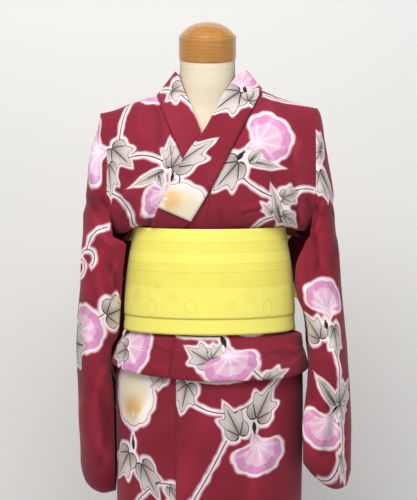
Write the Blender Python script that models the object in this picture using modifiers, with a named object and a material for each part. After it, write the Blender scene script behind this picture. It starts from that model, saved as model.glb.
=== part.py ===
"""A cotton yukata, worn left over right on a limbless dress form, tied with a half-width obi.

Metres, +Z up. -Y is the front, +X is the wearer's left. The origin is under the foot of the stand.
Every cloth panel is a grid moved onto one base figure, pushed out by the layer it lies in, and
given its wall by Solidify. Heights are above the surface that the stand rests on.
"""
import math

import bmesh
import bpy
from mathutils import Vector

# ---- driving dimensions ------------------------------------------------------------------------
WALL = 0.0015                # cloth wall
SEAM_GAP = 0.0003            # between two pieces at a seam
HEM_Z = 0.060                # lower edge of the skirt
SKIRT_TOP_Z = 0.925          # where the skirt stretch starts, under the obi
TUCK_Z = 0.797               # fold at the bottom of the waist tuck, at the wearer's left
TUCK_DIP = 0.009             # how much lower the fold hangs at the front
TUCK_RISE = 0.011            # how much higher it is at the wearer's right
TUCK_TURN_UP = 0.040         # height of the turned-up inner ply of the tuck
ARCH_Z = 1.130               # from here up the cloth rounds back over the shoulders
OBI_WIDTH = 0.172
OBI_FIRST_LOW = 0.874
OBI_SECOND_LOW = 0.904
CHEST_Z = 1.200              # the section that the arch is drawn from
FULL_SIDE_DEPTH = 0.038
CHEST_POWER = 1.3
FRONT_ARCH_POWER = 2.1
BACK_ARCH_POWER = 3.0
NECK_X = -0.004              # the neck stands a little to one side
COLUMN_STEP = 10.0           # degrees between the columns of every sheet round the figure

# how far each layer's inner face lies outside the base figure
OVER_SKIRT = 0.0040
TUCK_INNER = 0.0096
TUCK_OUTER = 0.0172
TUCK_LEFT_OUT = 0.0286       # just under the obi, where it stands out at the wearer's left
UNDER_BODY = 0.0085
BACK_BODY = 0.0120
OVER_BODY = 0.0150
UNDER_COLLAR = 0.0118
OVER_COLLAR = 0.0180
COVER_RISE = 0.0025          # the cover strip over the collar band
OBI_FRONT = 0.0210
OBI_BACK = 0.0145
OBI_TURN_RISE = 0.0023       # the second turn over the first
SEAM_SEAT = 0.0010           # the collar's seam edge over the body's edge
SLEEVE_GAP = 0.0013          # across the sleeve seam, where the body's wall leans outwards

# base figure: half width, front depth and back depth of the level cross-section
FIGURE = (
    # z,    half,   front,  back
    (0.000, 0.165, 0.1150, 0.1180),
    (0.300, 0.171, 0.1180, 0.1220),
    (0.560, 0.177, 0.1210, 0.1250),
    (0.720, 0.179, 0.1210, 0.1260),
    (0.790, 0.178, 0.1190, 0.1240),
    (0.840, 0.165, 0.1080, 0.1150),
    (0.874, 0.147, 0.0980, 0.1050),
    (0.940, 0.143, 0.0950, 0.1000),
    (1.000, 0.137, 0.0920, 0.0960),
    (1.076, 0.126, 0.0870, 0.0930),
    (1.081, 0.146, 0.0893, 0.0944),
    (1.087, 0.168, 0.0920, 0.0960),
    (1.102, 0.183, 0.0980, 0.0990),
    (1.120, 0.187, 0.1020, 0.1010),
    (1.150, 0.190, 0.1040, 0.1030),
    (1.360, 0.190, 0.1040, 0.1030),
)
# depth left at the side edge, where front and back hang apart at the sleeve seam
SIDE_DEPTH = (
    # z,    depth
    (1.076, 0.000),
    (1.092, 0.012),
    (1.112, 0.030),
    (1.132, 0.038),
    (1.360, 0.040),
)
# how far the full cloth over the obi sags beside it
SIDE_SAG = (
    # z,    right,  left
    (1.081, 0.000, 0.000),
    (1.087, 0.027, 0.022),
    (1.102, 0.019, 0.015),
    (1.120, 0.006, 0.004),
    (1.130, 0.000, 0.000),
)
BACK_SAG = 1.25              # how much lower it sags behind
# the shoulder line, from the neck out to the sleeve seam
CREST = (
    # |x|,  right,  left
    (0.000, 1.3280, 1.3280),
    (0.060, 1.3230, 1.3290),
    (0.100, 1.3170, 1.3230),
    (0.135, 1.3090, 1.3090),
    (0.155, 1.3020, 1.3030),
    (0.188, 1.2900, 1.2930),
    (0.240, 1.2810, 1.2820),
)
# edges on the front, as x at each height
OVER_COLLAR_SEAM = (
    # z,     x
    (0.700, -0.320),
    (1.092, -0.0355),
    (1.198, 0.0266),
    (1.248, 0.0517),
    (1.296, 0.0776),
    (1.345, 0.1036),
)
OVER_COLLAR_FOLD = (
    (0.700, -0.400),
    (1.080, -0.1136),
    (1.118, -0.0971),
    (1.163, -0.0728),
    (1.210, -0.0498),
    (1.268, -0.0087),
    (1.360, 0.0447),
    (1.3705, 0.0560),
)
UNDER_COLLAR_SEAM = (
    (0.900, 0.0790),
    (1.076, 0.0066),
    (1.209, -0.0499),
    (1.262, -0.0740),
    (1.340, -0.1060),
)
UNDER_COLLAR_FOLD = (
    (0.900, 0.1330),
    (1.076, 0.0610),
    (1.262, -0.0148),
    (1.331, -0.0433),
    (1.373, -0.0604),
)
LEFT_OKUMI_SEAM = (
    (0.780, -0.0690),
    (0.870, -0.0710),
    (1.081, -0.0104),
    (1.163, 0.0061),
)
RIGHT_OKUMI_SEAM = (
    (0.880, 0.0000),
    (1.081, -0.0200),
    (1.155, -0.0270),
)
NECK_SIDE_X = 0.100          # collar seam on the shoulder line
NECK_BACK_ANGLE = 54.0       # how far the back of the neck opening lies down the back arch
LEFT_OKUMI_TURN = -86.0      # where the over front ends, round at the wearer's right side
TIP_SHARE = 0.008            # least width of an overlap panel's tip

# sleeves below the seam: body-side and outer x, half depth, its middle, the turn of each side,
# and how far x grows from front to back
SLEEVE_RIGHT = (
    # z,    inner,  outer,  depth, centre, turn, skew
    (1.096, 0.1960, 0.2465, 0.045, 0.004, 106, 0.00),
    (1.058, 0.1885, 0.2472, 0.053, 0.006, 116, 0.00),
    (1.042, 0.1590, 0.2478, 0.055, 0.008, 125, -0.08),
    (0.985, 0.1640, 0.2500, 0.064, 0.014, 132, -0.12),
    (0.900, 0.1710, 0.2580, 0.072, 0.024, 138, -0.10),
    (0.868, 0.1755, 0.2605, 0.074, 0.028, 138, -0.06),
    (0.838, 0.1915, 0.2625, 0.076, 0.034, 138, 0.00),
    (0.800, 0.1955, 0.2620, 0.078, 0.036, 138, 0.00),
    (0.755, 0.1900, 0.2600, 0.078, 0.036, 138, 0.00),
    (0.690, 0.1880, 0.2585, 0.077, 0.036, 136, 0.00),
    (0.625, 0.1870, 0.2560, 0.070, 0.036, 134, 0.00),
)
SLEEVE_LEFT = (
    (1.096, 0.2025, 0.2450, 0.045, 0.002, 100, 0.00),
    (1.064, 0.1915, 0.2465, 0.052, 0.004, 114, -0.12),
    (1.044, 0.1715, 0.2480, 0.056, 0.006, 123, -0.30),
    (0.993, 0.1640, 0.2545, 0.064, 0.008, 140, -0.12),
    (0.945, 0.1710, 0.2590, 0.069, 0.006, 138, 0.02),
    (0.924, 0.1775, 0.2607, 0.071, 0.004, 138, 0.00),
    (0.903, 0.1865, 0.2625, 0.073, 0.000, 137, 0.00),
    (0.870, 0.1910, 0.2655, 0.075, -0.003, 135, 0.00),
    (0.850, 0.1920, 0.2675, 0.076, -0.005, 134, 0.00),
    (0.800, 0.1955, 0.2710, 0.078, -0.012, 132, 0.03),
    (0.755, 0.1910, 0.2740, 0.078, -0.020, 134, 0.07),
    (0.690, 0.1880, 0.2765, 0.077, -0.030, 137, 0.12),
    (0.625, 0.1880, 0.2755, 0.070, -0.036, 140, 0.14),
)
# lowest edge of each sleeve, from its body side (-1) to its outer side (+1)
SLEEVE_RIGHT_HEM = (
    (-1.0, 0.545),
    (-0.3, 0.540),
    (0.2, 0.546),
    (0.6, 0.558),
    (0.85, 0.576),
    (1.0, 0.600),
)
SLEEVE_LEFT_HEM = (
    (-1.0, 0.612),
    (-0.6, 0.590),
    (-0.1, 0.571),
    (0.4, 0.562),
    (0.8, 0.568),
    (1.0, 0.596),
)
SHOULDER_DROP = (
    # height below the shoulder line, how far the outer fold stands out: right, left
    (0.000, 0.0130, 0.0050),
    (0.010, 0.0145, 0.0100),
    (0.035, 0.0190, 0.0150),
    (0.060, 0.0270, 0.0180),
    (0.095, 0.0345, 0.0240),
    (0.130, 0.0375, 0.0310),
    (0.165, 0.0420, 0.0375),
)
SLEEVE_COLUMNS = 17
SLEEVE_ROWS = (0.630, 0.680, 0.725, 0.762, 0.800, 0.838, 0.868, 0.903, 0.955, 1.000, 1.043, 1.061, 1.096)
SHOULDER_SLOPE = 0.2         # fall of the cloth beyond the sleeve seam
SLEEVE_CLOSE = (0.45, 0.75, 0.93, 1.0)   # rows that round the sleeve's bottom to its seam
CUFF_TOP_Z = 0.955
CUFF_LOW_Z = 0.725
CUFF_PART = 0.010            # how far each lip of the cuff stands off the middle

# large folds that shape the cloth: a line from (x1, z1) to (x2, z2), its half width and its depth
FRONT_FOLDS = (
    # x1,     z1,     x2,     z2,    width, depth
    (-0.160, 1.150, -0.128, 1.082, 0.018, 0.006),
    (-0.180, 1.155, -0.150, 1.098, 0.013, -0.004),
    (0.166, 1.150, 0.140, 1.084, 0.018, 0.006),
    (0.182, 1.136, 0.160, 1.098, 0.013, -0.004),
    (-0.098, 1.300, -0.076, 1.235, 0.014, 0.003),
)

# collar: heights of the fold edge at each station, from the obi up
OVER_STATIONS = (
    # fold z, seam z, y of the fold edge where it stands off the chest
    (1.0500, 1.0244, None),
    (1.0660, 1.0504, None),
    (1.0765, 1.0630, None),
    (1.0880, 1.0700, None),
    (1.0985, 1.0780, None),
    (1.1080, 1.0860, None),
    (1.1177, 1.0921, None),
    (1.1300, 1.1020, None),
    (1.1460, 1.1200, None),
    (1.1680, 1.1424, None),
    (1.1920, 1.1667, None),
    (1.2080, 1.1833, None),
    (1.2250, 1.2000, None),
    (1.2450, 1.2205, None),
    (1.2660, 1.2410, -0.1020),
    (1.3016, 1.2760, -0.0810),
    (1.3310, 1.3028, -0.0600),
    (1.3500, 1.3193, -0.0440),
    (1.3620, 1.3303, -0.0300),
    (1.3705, 1.3358, -0.0150),
)
UNDER_STATIONS = (
    (1.1280, 1.1020, None),
    (1.1456, 1.1200, None),
    (1.1680, 1.1424, None),
    (1.1903, 1.1647, None),
    (1.2220, 1.1964, None),
    (1.2605, 1.2349, -0.0935),
    (1.2936, 1.2680, -0.0785),
    (1.3200, 1.2922, -0.0620),
    (1.3400, 1.3069, -0.0470),
    (1.3530, 1.3175, -0.0320),
    (1.3650, 1.3235, -0.0170),
)
COVER_LOW_OVER = 1.1177      # the cover strip's cut end, on the chest
COVER_LOW_UNDER = 1.2000
COLLAR_ACROSS = 5
FOLD_SHOULDER = ((-0.0640, -0.001, 1.3742), (0.0700, 0.001, 1.3770))
FOLD_BACK_DEPTH = 0.092
FOLD_BACK_Z = 1.360

# bow of the obi, at the back
KNOT_SIZE = (0.050, 0.026, 0.085)
KNOT_Z = 1.035
KNOT_FRONT_Y = 0.1148
WING_SPAN = 0.178
WING_SPAN_RIGHT = 0.162
WING_ROOT_HEIGHT = 0.050
WING_TIP_HEIGHT = 0.122
WING_DROOP = 0.062
WING_INNER_Y = 0.1215
WING_OUTER_Y = 0.1380
TAIL_LOW_Z = 0.868

# dress form
FORM_CLEAR = 0.0006          # between the form's hips and the skirt that rests on them
FORM_BOTTOM_Z = 0.720
NECK_TOP_Z = 1.4003
NECK_TILT = 10.0             # degrees that the top of the neck leans forwards
FORM_CHEST = (
    # z,    half,   front,  back
    (1.000, 0.1200, 0.0820, 0.0860),
    (1.060, 0.1250, 0.0840, 0.0870),
    (1.077, 0.1270, 0.0850, 0.0880),
    (1.095, 0.1480, 0.0890, 0.0900),
    (1.115, 0.1590, 0.0930, 0.0920),
    (1.150, 0.1640, 0.0970, 0.0930),
    (1.200, 0.1670, 0.0950, 0.0930),
    (1.240, 0.1680, 0.0850, 0.0890),
    (1.262, 0.1640, 0.0760, 0.0830),
    (1.280, 0.1510, 0.0660, 0.0740),
    (1.294, 0.1260, 0.0570, 0.0660),
    (1.306, 0.0990, 0.0520, 0.0610),
    (1.317, 0.0780, 0.0505, 0.0570),
    (1.330, 0.0640, 0.0505, 0.0545),
    (1.348, 0.0570, 0.0520, 0.0538),
    (1.370, 0.0540, 0.0530, 0.0538),
    (NECK_TOP_Z, 0.0538, 0.0538, 0.0538),
)
CAP_PROFILE = (
    # radius, height above the neck
    (0.0000, 0.0715),
    (0.0140, 0.0705),
    (0.0270, 0.0672),
    (0.0390, 0.0610),
    (0.0480, 0.0530),
    (0.0510, 0.0490),
    (0.0512, 0.0470),
    (0.0535, 0.0472),
    (0.0556, 0.0450),
    (0.0558, 0.0380),
    (0.0558, 0.0020),
    (0.0548, 0.0003),
    (0.0000, 0.0003),
)
POLE_RADIUS = 0.016
FOOT_PROFILE = (
    (0.000, 0.046),
    (0.026, 0.046),
    (0.028, 0.044),
    (0.030, 0.026),
    (0.040, 0.020),
    (0.160, 0.014),
    (0.170, 0.010),
    (0.170, 0.000),
    (0.000, 0.000),
)
TURN_STEPS = 36

COLOURS = {
    "robe_cotton": ((0.30, 0.022, 0.045, 1.0), 0.85, 0.0),
    "obi_cloth": ((0.90, 0.80, 0.14, 1.0), 0.55, 0.0),
    "form_linen": ((0.78, 0.70, 0.55, 1.0), 0.9, 0.0),
    "form_wood": ((0.55, 0.26, 0.08, 1.0), 0.35, 0.0),
    "stand_metal": ((0.75, 0.73, 0.70, 1.0), 0.35, 0.6),
}


# ---- small tools -------------------------------------------------------------------------------
def clear_scene():
    for obj in list(bpy.data.objects):
        bpy.data.objects.remove(obj, do_unlink=True)


def lerp(low, high, share):
    return low + (high - low) * share


def smooth(share):
    share = min(1.0, max(0.0, share))
    return share * share * (3.0 - 2.0 * share)


def read(table, key, column=1):
    """Read a column of a table whose first column rises or falls, on straight lines."""
    rows = table if table[0][0] < table[-1][0] else tuple(reversed(table))
    if key <= rows[0][0]:
        return rows[0][column]
    for low, high in zip(rows, rows[1:]):
        if key <= high[0]:
            return lerp(low[column], high[column], (key - low[0]) / (high[0] - low[0]))
    return rows[-1][column]


def material(name):
    mat = bpy.data.materials.get(name)
    if mat:
        return mat
    colour, roughness, metallic = COLOURS[name]
    mat = bpy.data.materials.new(name)
    mat.use_nodes = True
    shader = mat.node_tree.nodes["Principled BSDF"]
    shader.inputs["Base Color"].default_value = colour
    shader.inputs["Roughness"].default_value = roughness
    shader.inputs["Metallic"].default_value = metallic
    return mat


def add_object(name, bm, finish, smooth_angle=40.0):
    mesh = bpy.data.meshes.new(name)
    bm.to_mesh(mesh)
    bm.free()
    mesh.materials.append(material(finish))
    mesh.shade_smooth()
    mesh.set_sharp_from_angle(angle=math.radians(smooth_angle))
    obj = bpy.data.objects.new(name, mesh)
    COLLECTION.objects.link(obj)
    return obj


def gather(obj):
    """Puts a made primitive in the object's own collection."""
    for holder in list(obj.users_collection):
        holder.objects.unlink(obj)
    COLLECTION.objects.link(obj)


def sheet(name, columns, rows, place, finish, wall=WALL, shape=None):
    """A grid of columns x rows points, each moved to place(column, row), with its wall outside.

    Columns run to the wearer's left at the front, and rows run up, so the normals point out.
    """
    bm = bmesh.new()
    bmesh.ops.create_grid(bm, x_segments=columns - 1, y_segments=rows - 1, size=1.0)
    for vert in bm.verts:
        column = round((vert.co.x + 1.0) * 0.5 * (columns - 1))
        row = round((vert.co.y + 1.0) * 0.5 * (rows - 1))
        vert.co = place(column, row)
    if shape:
        shape(bm)
    obj = add_object(name, bm, finish)
    solid = obj.modifiers.new("wall", "SOLIDIFY")
    solid.thickness = wall
    solid.offset = 1.0
    solid.use_even_offset = False
    return obj


def columns_between(start, end):
    """Angles from start to end with every multiple of COLUMN_STEP between them."""
    low, high = min(start, end), max(start, end)
    inner = [COLUMN_STEP * k for k in range(math.ceil(low / COLUMN_STEP), math.floor(high / COLUMN_STEP) + 1)]
    inner = [angle for angle in inner if low + 2.0 < angle < high - 2.0]
    return [low] + inner + [high]


# ---- the base figure ---------------------------------------------------------------------------
def tube_point(angle, z, off):
    """A point at this angle round the figure, 0 at the front and 90 at the wearer's left."""
    turn = math.radians(angle)
    half = read(FIGURE, z, 1) + off
    depth = read(FIGURE, z, 2 if math.cos(turn) >= 0.0 else 3) + off
    return Vector((half * math.sin(turn), -depth * math.cos(turn), z))


def crest_z(x, off):
    return read(CREST, abs(x), 2 if x > 0.0 else 1) + off


def fold_push(x, z):
    """How far the large folds push the front cloth out at this place."""
    push = 0.0
    for x1, z1, x2, z2, width, depth in FRONT_FOLDS:
        run_x, run_z = x2 - x1, z2 - z1
        length = math.hypot(run_x, run_z)
        along = ((x - x1) * run_x + (z - z1) * run_z) / length
        across = ((x - x1) * run_z - (z - z1) * run_x) / length
        ends = smooth((along + width) / (2.0 * width)) * smooth((length + width - along) / (2.0 * width))
        push += depth * ends * math.exp(-(across / width) ** 2)
    return push


def body_point(share, level, off, back):
    """A point on the bodice: share is -1 at the wearer's right edge and 1 at the left.

    level is a height below the arch, and above it ARCH_Z plus an angle in degrees, up to 90.
    """
    angle = max(0.0, level - ARCH_Z)
    height = CHEST_Z if angle > 0.0 else level
    edge = read(SIDE_DEPTH, height)
    spread = min(1.0, edge / FULL_SIDE_DEPTH)
    turn = math.radians(90.0 * share)
    half = read(FIGURE, height, 1) + off
    x = half * lerp(math.sin(turn), share, 0.75 * spread)
    rounding = lerp(math.cos(turn), max(0.0, 1.0 - share * share) ** CHEST_POWER, spread)
    edge += off * spread
    middle = read(FIGURE, height, 3 if back else 2) + off
    depth = edge + (middle - edge) * rounding
    sag = read(SIDE_SAG, height, 2 if share > 0.0 else 1)
    if back:
        z = height - BACK_SAG * sag * smooth((abs(share) - 0.38) / 0.34)
    else:
        z = height - sag * smooth((abs(share) - 0.55) / 0.36)
    if angle > 0.0:
        power = BACK_ARCH_POWER if back else FRONT_ARCH_POWER
        rise = math.sin(math.radians(angle)) ** (2.0 / power)
        depth *= max(0.0, math.cos(math.radians(angle))) ** (2.0 / power)
        z = ARCH_Z + (crest_z(x, off) - ARCH_Z) * rise
    if not back:
        depth += fold_push(x, z)
    return Vector((x, depth if back else -depth, z))


def front_point(x, z, off):
    """The front cloth at a given x and height."""
    level = z
    if z > ARCH_Z:
        rise = min(1.0, (z - ARCH_Z) / (crest_z(x, off) - ARCH_Z))
        level = arch(math.degrees(math.asin(rise ** (FRONT_ARCH_POWER / 2.0))))
    low, high = -1.0, 1.0
    for _ in range(30):
        middle = 0.5 * (low + high)
        if body_point(middle, level, off, False).x < x:
            low = middle
        else:
            high = middle
    return body_point(0.5 * (low + high), level, off, False)


def arch(angle):
    return ARCH_Z + angle


def share_at_edge(edge, level, off):
    """The share of the width at which a front row meets an edge given as x at each height."""
    low, high = -1.0, 1.0
    for _ in range(40):
        middle = 0.5 * (low + high)
        point = body_point(middle, level, off, False)
        if point.x < read(edge, point.z):
            low = middle
        else:
            high = middle
    return 0.5 * (low + high)


# ---- the bodice --------------------------------------------------------------------------------
KENSAKI = arch(9.0)          # where the left okumi seam meets the collar seam
FRONT_ARCH = (18.0, 30.0, 42.0, NECK_BACK_ANGLE, 64.0, 73.0, 82.0, 90.0)
BACK_ARCH = (82.0, 73.0, 64.0, 59.0, 55.5, NECK_BACK_ANGLE, 42.0, 30.0, 18.0)
LOW_LEVELS = [0.880, 0.940, 1.000, 1.076, 1.081, 1.087, 1.102, 1.120, ARCH_Z]
FRONT_LEVELS = LOW_LEVELS + [KENSAKI] + [arch(angle) for angle in FRONT_ARCH]
BACK_LEVELS = [arch(angle) for angle in BACK_ARCH] + list(reversed(LOW_LEVELS))
BODY_COLUMNS = 9
SHARE_GAP = 0.5 * SEAM_GAP / 0.24
TUCK_SHARE_GAP = 3.0 * SHARE_GAP


def fold_z(angle):
    turn = math.radians(angle)
    return TUCK_Z - TUCK_DIP * smooth(1.4 * math.cos(turn)) + TUCK_RISE * smooth(-math.sin(turn))


def tuck_shoulder(angle, top_off):
    """Offset of the tuck's outer ply just under the obi."""
    out = smooth((angle - 40.0) / 40.0) * smooth((150.0 - angle) / 40.0)
    return lerp(lerp(TUCK_OUTER, top_off, 0.7), TUCK_LEFT_OUT, out)


def tuck_rows(angle, top_off):
    """Offset and height of the rows of the tuck, from the turned-up inner ply out to the obi."""
    low = fold_z(angle)
    return (
        (TUCK_INNER, low + TUCK_TURN_UP),
        (TUCK_INNER, low + 0.008),
        (TUCK_INNER + 0.0026, low),
        (TUCK_OUTER - 0.0026, low),
        (TUCK_OUTER, low + 0.008),
        (TUCK_OUTER, 0.840),
        (tuck_shoulder(angle, top_off), 0.862),
        (top_off, 0.870),
    )


TUCK_COUNT = len(tuck_rows(0.0, OVER_BODY))


def body_offset(side, share, back):
    """The layer of a body length: over at the left front, under at the right, level at the back."""
    front = OVER_BODY if side > 0 else UNDER_BODY
    return lerp(BACK_BODY, front, share * share) if back else front


def back_inner_share(side, level, rise=0.0):
    """The body's inner edge at the back: round the neck, then down the centre seam."""
    angle = level - ARCH_Z
    if angle <= NECK_BACK_ANGLE:
        return 0.0
    turn = (90.0 - angle) / (90.0 - NECK_BACK_ANGLE)
    x = NECK_SIDE_X * math.sqrt(max(0.0, 1.0 - turn * turn))
    off = body_offset(side, x / 0.2, angle < 89.0) + rise
    return side * share_at_x(x, level, off)


def share_at_x(x, level, off):
    return share_at_edge(((0.0, x), (2.0, x)), level, off)


def okumi_share(side, level, off):
    edge = LEFT_OKUMI_SEAM if side > 0 else RIGHT_OKUMI_SEAM
    return share_at_edge(edge, level, off)


def front_inner_share(side, level, off):
    """The inner edge of a body front: along the collar seam, then along the okumi seam."""
    collar = OVER_COLLAR_SEAM if side > 0 else UNDER_COLLAR_SEAM
    pick = max if side > 0 else min
    return pick(share_at_edge(collar, level, off), okumi_share(side, level, off))


def tuck_point(share, index, top_off, back):
    angle = 180.0 - 90.0 * share if back else 90.0 * share
    off, z = tuck_rows(angle, top_off)[index]
    return tube_point(angle, z, off)


def body_length(name, side):
    """One body length: up the front, over the shoulder and down the back.

    The left one starts at the fold of the waist tuck. The right one, worn underneath, starts
    under the obi. Both end at the back in the tuck.
    """
    plan = [("front tuck", index) for index in range(TUCK_COUNT)] if side > 0 else []
    plan += [("front", level) for level in FRONT_LEVELS]
    plan += [("back", level) for level in BACK_LEVELS]
    plan += [("back tuck", index) for index in reversed(range(TUCK_COUNT))]
    outer = side * (1.0 - SHARE_GAP)
    front_off = body_offset(side, 0.0, False)

    def place(column, row):
        kind, level = plan[row]
        across = column / (BODY_COLUMNS - 1)
        if side < 0:
            across = 1.0 - across
        if kind == "front tuck":
            edge = side * (1.0 - TUCK_SHARE_GAP)
            share = lerp(okumi_share(side, 0.840, front_off) + SHARE_GAP, edge, across)
            return tuck_point(share, level, front_off, False)
        if kind == "back tuck":
            edge = side * (1.0 - TUCK_SHARE_GAP)
            share = lerp(side * SHARE_GAP, edge, across)
            return tuck_point(share, level, body_offset(side, share, True), True)
        if kind == "front":
            share = lerp(front_inner_share(side, level, front_off) + side * SHARE_GAP, outer, across)
            return body_point(share, level, front_off, False)
        share = lerp(back_inner_share(side, level) + side * SHARE_GAP, outer, across)
        return body_point(share, level, body_offset(side, share, True), True)

    return sheet(name, BODY_COLUMNS, len(plan), place, "robe_cotton")


def okumi(name, side):
    """The upper stretch of an overlap panel, a wedge between the collar and the body front."""
    plan = [("tuck", index) for index in range(TUCK_COUNT)] if side > 0 else []
    plan += [("front", level) for level in LOW_LEVELS]
    columns = 8
    off = OVER_BODY if side > 0 else UNDER_BODY
    edge = OVER_COLLAR_SEAM if side > 0 else UNDER_COLLAR_SEAM
    limit = LEFT_OKUMI_TURN / 90.0
    top = KENSAKI if side > 0 else arch(6.0)

    def place(column, row):
        kind, level = plan[row] if row < len(plan) else ("front", top)
        height = 0.840 if kind == "tuck" else level
        seam = okumi_share(side, height, off) - side * SHARE_GAP
        if kind == "tuck":
            free = limit
        elif side > 0:
            free = max(limit, min(share_at_edge(edge, level, off), seam - TIP_SHARE))
        else:
            free = max(share_at_edge(edge, level, off), seam + TIP_SHARE)
        across = column / (columns - 1)
        share = lerp(free, seam, across) if side > 0 else lerp(seam, free, across)
        if kind == "tuck":
            return tuck_point(share, level, off, False)
        return body_point(share, level, off, False)

    return sheet(name, columns, len(plan) + 1, place, "robe_cotton")


# ---- the skirt ---------------------------------------------------------------------------------
SKIRT_LEVELS = (HEM_Z, 0.300, 0.560, 0.720, 0.790, 0.840, 0.874, SKIRT_TOP_Z)
SKIRT_SEAM_X = -0.0640       # left okumi seam, straight down to the hem
UNDER_SKIRT_SEAM = 22.0      # degrees, the same seam of the right okumi, under the left front
UNDER_SKIRT_TURN = 78.0
OVER_SKIRT_TURN = -87.0


def skirt_seam_angle(z):
    half = read(FIGURE, z, 1) + OVER_SKIRT
    return math.degrees(math.asin(SKIRT_SEAM_X / half))


def skirt_panel(name, start, end, offset):
    """A skirt stretch from start(z) to end(z) degrees, with offset(angle) outside the figure."""
    angles = columns_between(start(0.560), end(0.560))
    count = len(angles)
    gap = math.degrees(0.5 * SEAM_GAP / 0.15)

    def place(column, row):
        z = SKIRT_LEVELS[row]
        angle = angles[column]
        if column == 0:
            angle = start(z) + gap
        if column == count - 1:
            angle = end(z) - gap
        return tube_point(angle, z, offset(angle))

    return sheet(name, count, len(SKIRT_LEVELS), place, "robe_cotton")


def fixed(angle):
    return lambda z: angle


def skirt():
    """Six widths: the left front over the right one, and the back between them."""
    def over(angle):
        return OVER_SKIRT

    def under(angle):
        return 0.0

    def back(angle):
        return OVER_SKIRT * smooth((270.0 - angle) / 180.0)

    skirt_panel("skirt_okumi_left", fixed(OVER_SKIRT_TURN), skirt_seam_angle, over)
    skirt_panel("skirt_front_left", skirt_seam_angle, fixed(90.0), over)
    skirt_panel("skirt_back_left", fixed(90.0), fixed(180.0), back)
    skirt_panel("skirt_back_right", fixed(180.0), fixed(270.0), back)
    skirt_panel("skirt_front_right", fixed(-90.0), fixed(UNDER_SKIRT_SEAM), under)
    skirt_panel("skirt_okumi_right", fixed(UNDER_SKIRT_SEAM), fixed(UNDER_SKIRT_TURN), under)


# ---- sleeves -----------------------------------------------------------------------------------
def sleeve(name, side):
    """One folded cloth: front half, outer fold and back half, its bottom edges sewn together."""
    table = SLEEVE_LEFT if side > 0 else SLEEVE_RIGHT
    hem = SLEEVE_LEFT_HEM if side > 0 else SLEEVE_RIGHT_HEM
    off = body_offset(side, 0.0, False)
    plan = [("close", share) for share in reversed(SLEEVE_CLOSE)]
    plan += [("hang", z) for z in SLEEVE_ROWS]
    plan += [("seam", level) for level in [ARCH_Z, KENSAKI] + [arch(angle) for angle in FRONT_ARCH]]

    def hang_point(z, across, depth_share):
        inner, outer, depth, centre, turn, skew = [read(table, z, column) for column in range(1, 7)]
        limit = math.cos(math.radians(turn))
        bulge = (outer - inner) / (1.0 - limit)
        angle = math.radians(turn * across)
        x = outer - bulge + bulge * math.cos(angle)
        place_across = 2.0 * (math.cos(angle) - limit) / (1.0 - limit) - 1.0
        swing = -depth * depth_share * math.sin(angle)
        return Vector((side * (x + skew * swing), centre + swing, z)), place_across

    def place(column, row):
        kind, value = plan[row]
        across = side * (1.0 - 2.0 * column / (SLEEVE_COLUMNS - 1))
        if kind == "hang":
            return hang_point(value, across, 1.0)[0]
        if kind == "close":
            low = SLEEVE_ROWS[0]
            point, place_across = hang_point(low, across, math.sqrt(1.0 - value * value))
            point.z = lerp(low, read(hem, place_across), value)
            return point
        front = body_point(side, value, off, False)
        back = body_point(side, value, off, True)
        angle = math.radians(90.0 * across)
        drop = crest_z(front.x, off) - front.z
        bulge = read(SHOULDER_DROP, drop, 2 if side > 0 else 1)
        point = 0.5 * (front + back) + 0.5 * (front - back) * math.sin(angle)
        point.x += side * (SLEEVE_GAP + bulge * math.cos(angle))
        point.z -= SHOULDER_SLOPE * bulge * math.cos(angle)
        return point

    def join_and_cut(bm):
        middle = (SLEEVE_COLUMNS - 1) // 2
        fold_x = [place(middle, row) for row in range(len(plan))]
        fold = [point for point in fold_x if CUFF_LOW_Z - 1e-5 < point.z < CUFF_TOP_Z + 1e-5]
        bmesh.ops.remove_doubles(bm, verts=bm.verts[:], dist=1e-5)
        on_fold = [v for v in bm.verts if any((v.co - point).length < 1e-5 for point in fold)]
        edges = [e for e in bm.edges if e.verts[0] in on_fold and e.verts[1] in on_fold]
        bmesh.ops.split_edges(bm, edges=edges)
        for vert in bm.verts:
            if any((vert.co - point).length < 1e-5 for point in fold):
                rise = (vert.co.z - CUFF_LOW_Z) / (CUFF_TOP_Z - CUFF_LOW_Z)
                lip = CUFF_PART * math.sin(math.pi * min(1.0, max(0.0, rise))) ** 0.7
                centre = sum((face.calc_center_median().y for face in vert.link_faces), 0.0)
                centre /= len(vert.link_faces)
                if lip > 1e-4:
                    vert.co.y += lip if centre > vert.co.y else -lip

    return sheet(name, SLEEVE_COLUMNS, len(plan), place, "robe_cotton", shape=join_and_cut)


# ---- collar ------------------------------------------------------------------------------------
def collar_stations():
    """Stations of the collar from the over side's end, round the neck, to the under side's end."""
    rows = [("front", 1, station) for station in OVER_STATIONS]
    round_neck = (90.0, 82.0, 73.0, 64.0, 59.0, 55.5)
    rows += [("neck", 1, angle) for angle in round_neck + (NECK_BACK_ANGLE,)]
    rows += [("neck", -1, angle) for angle in reversed(round_neck)]
    rows += [("front", -1, station) for station in reversed(UNDER_STATIONS)]
    return rows


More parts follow.
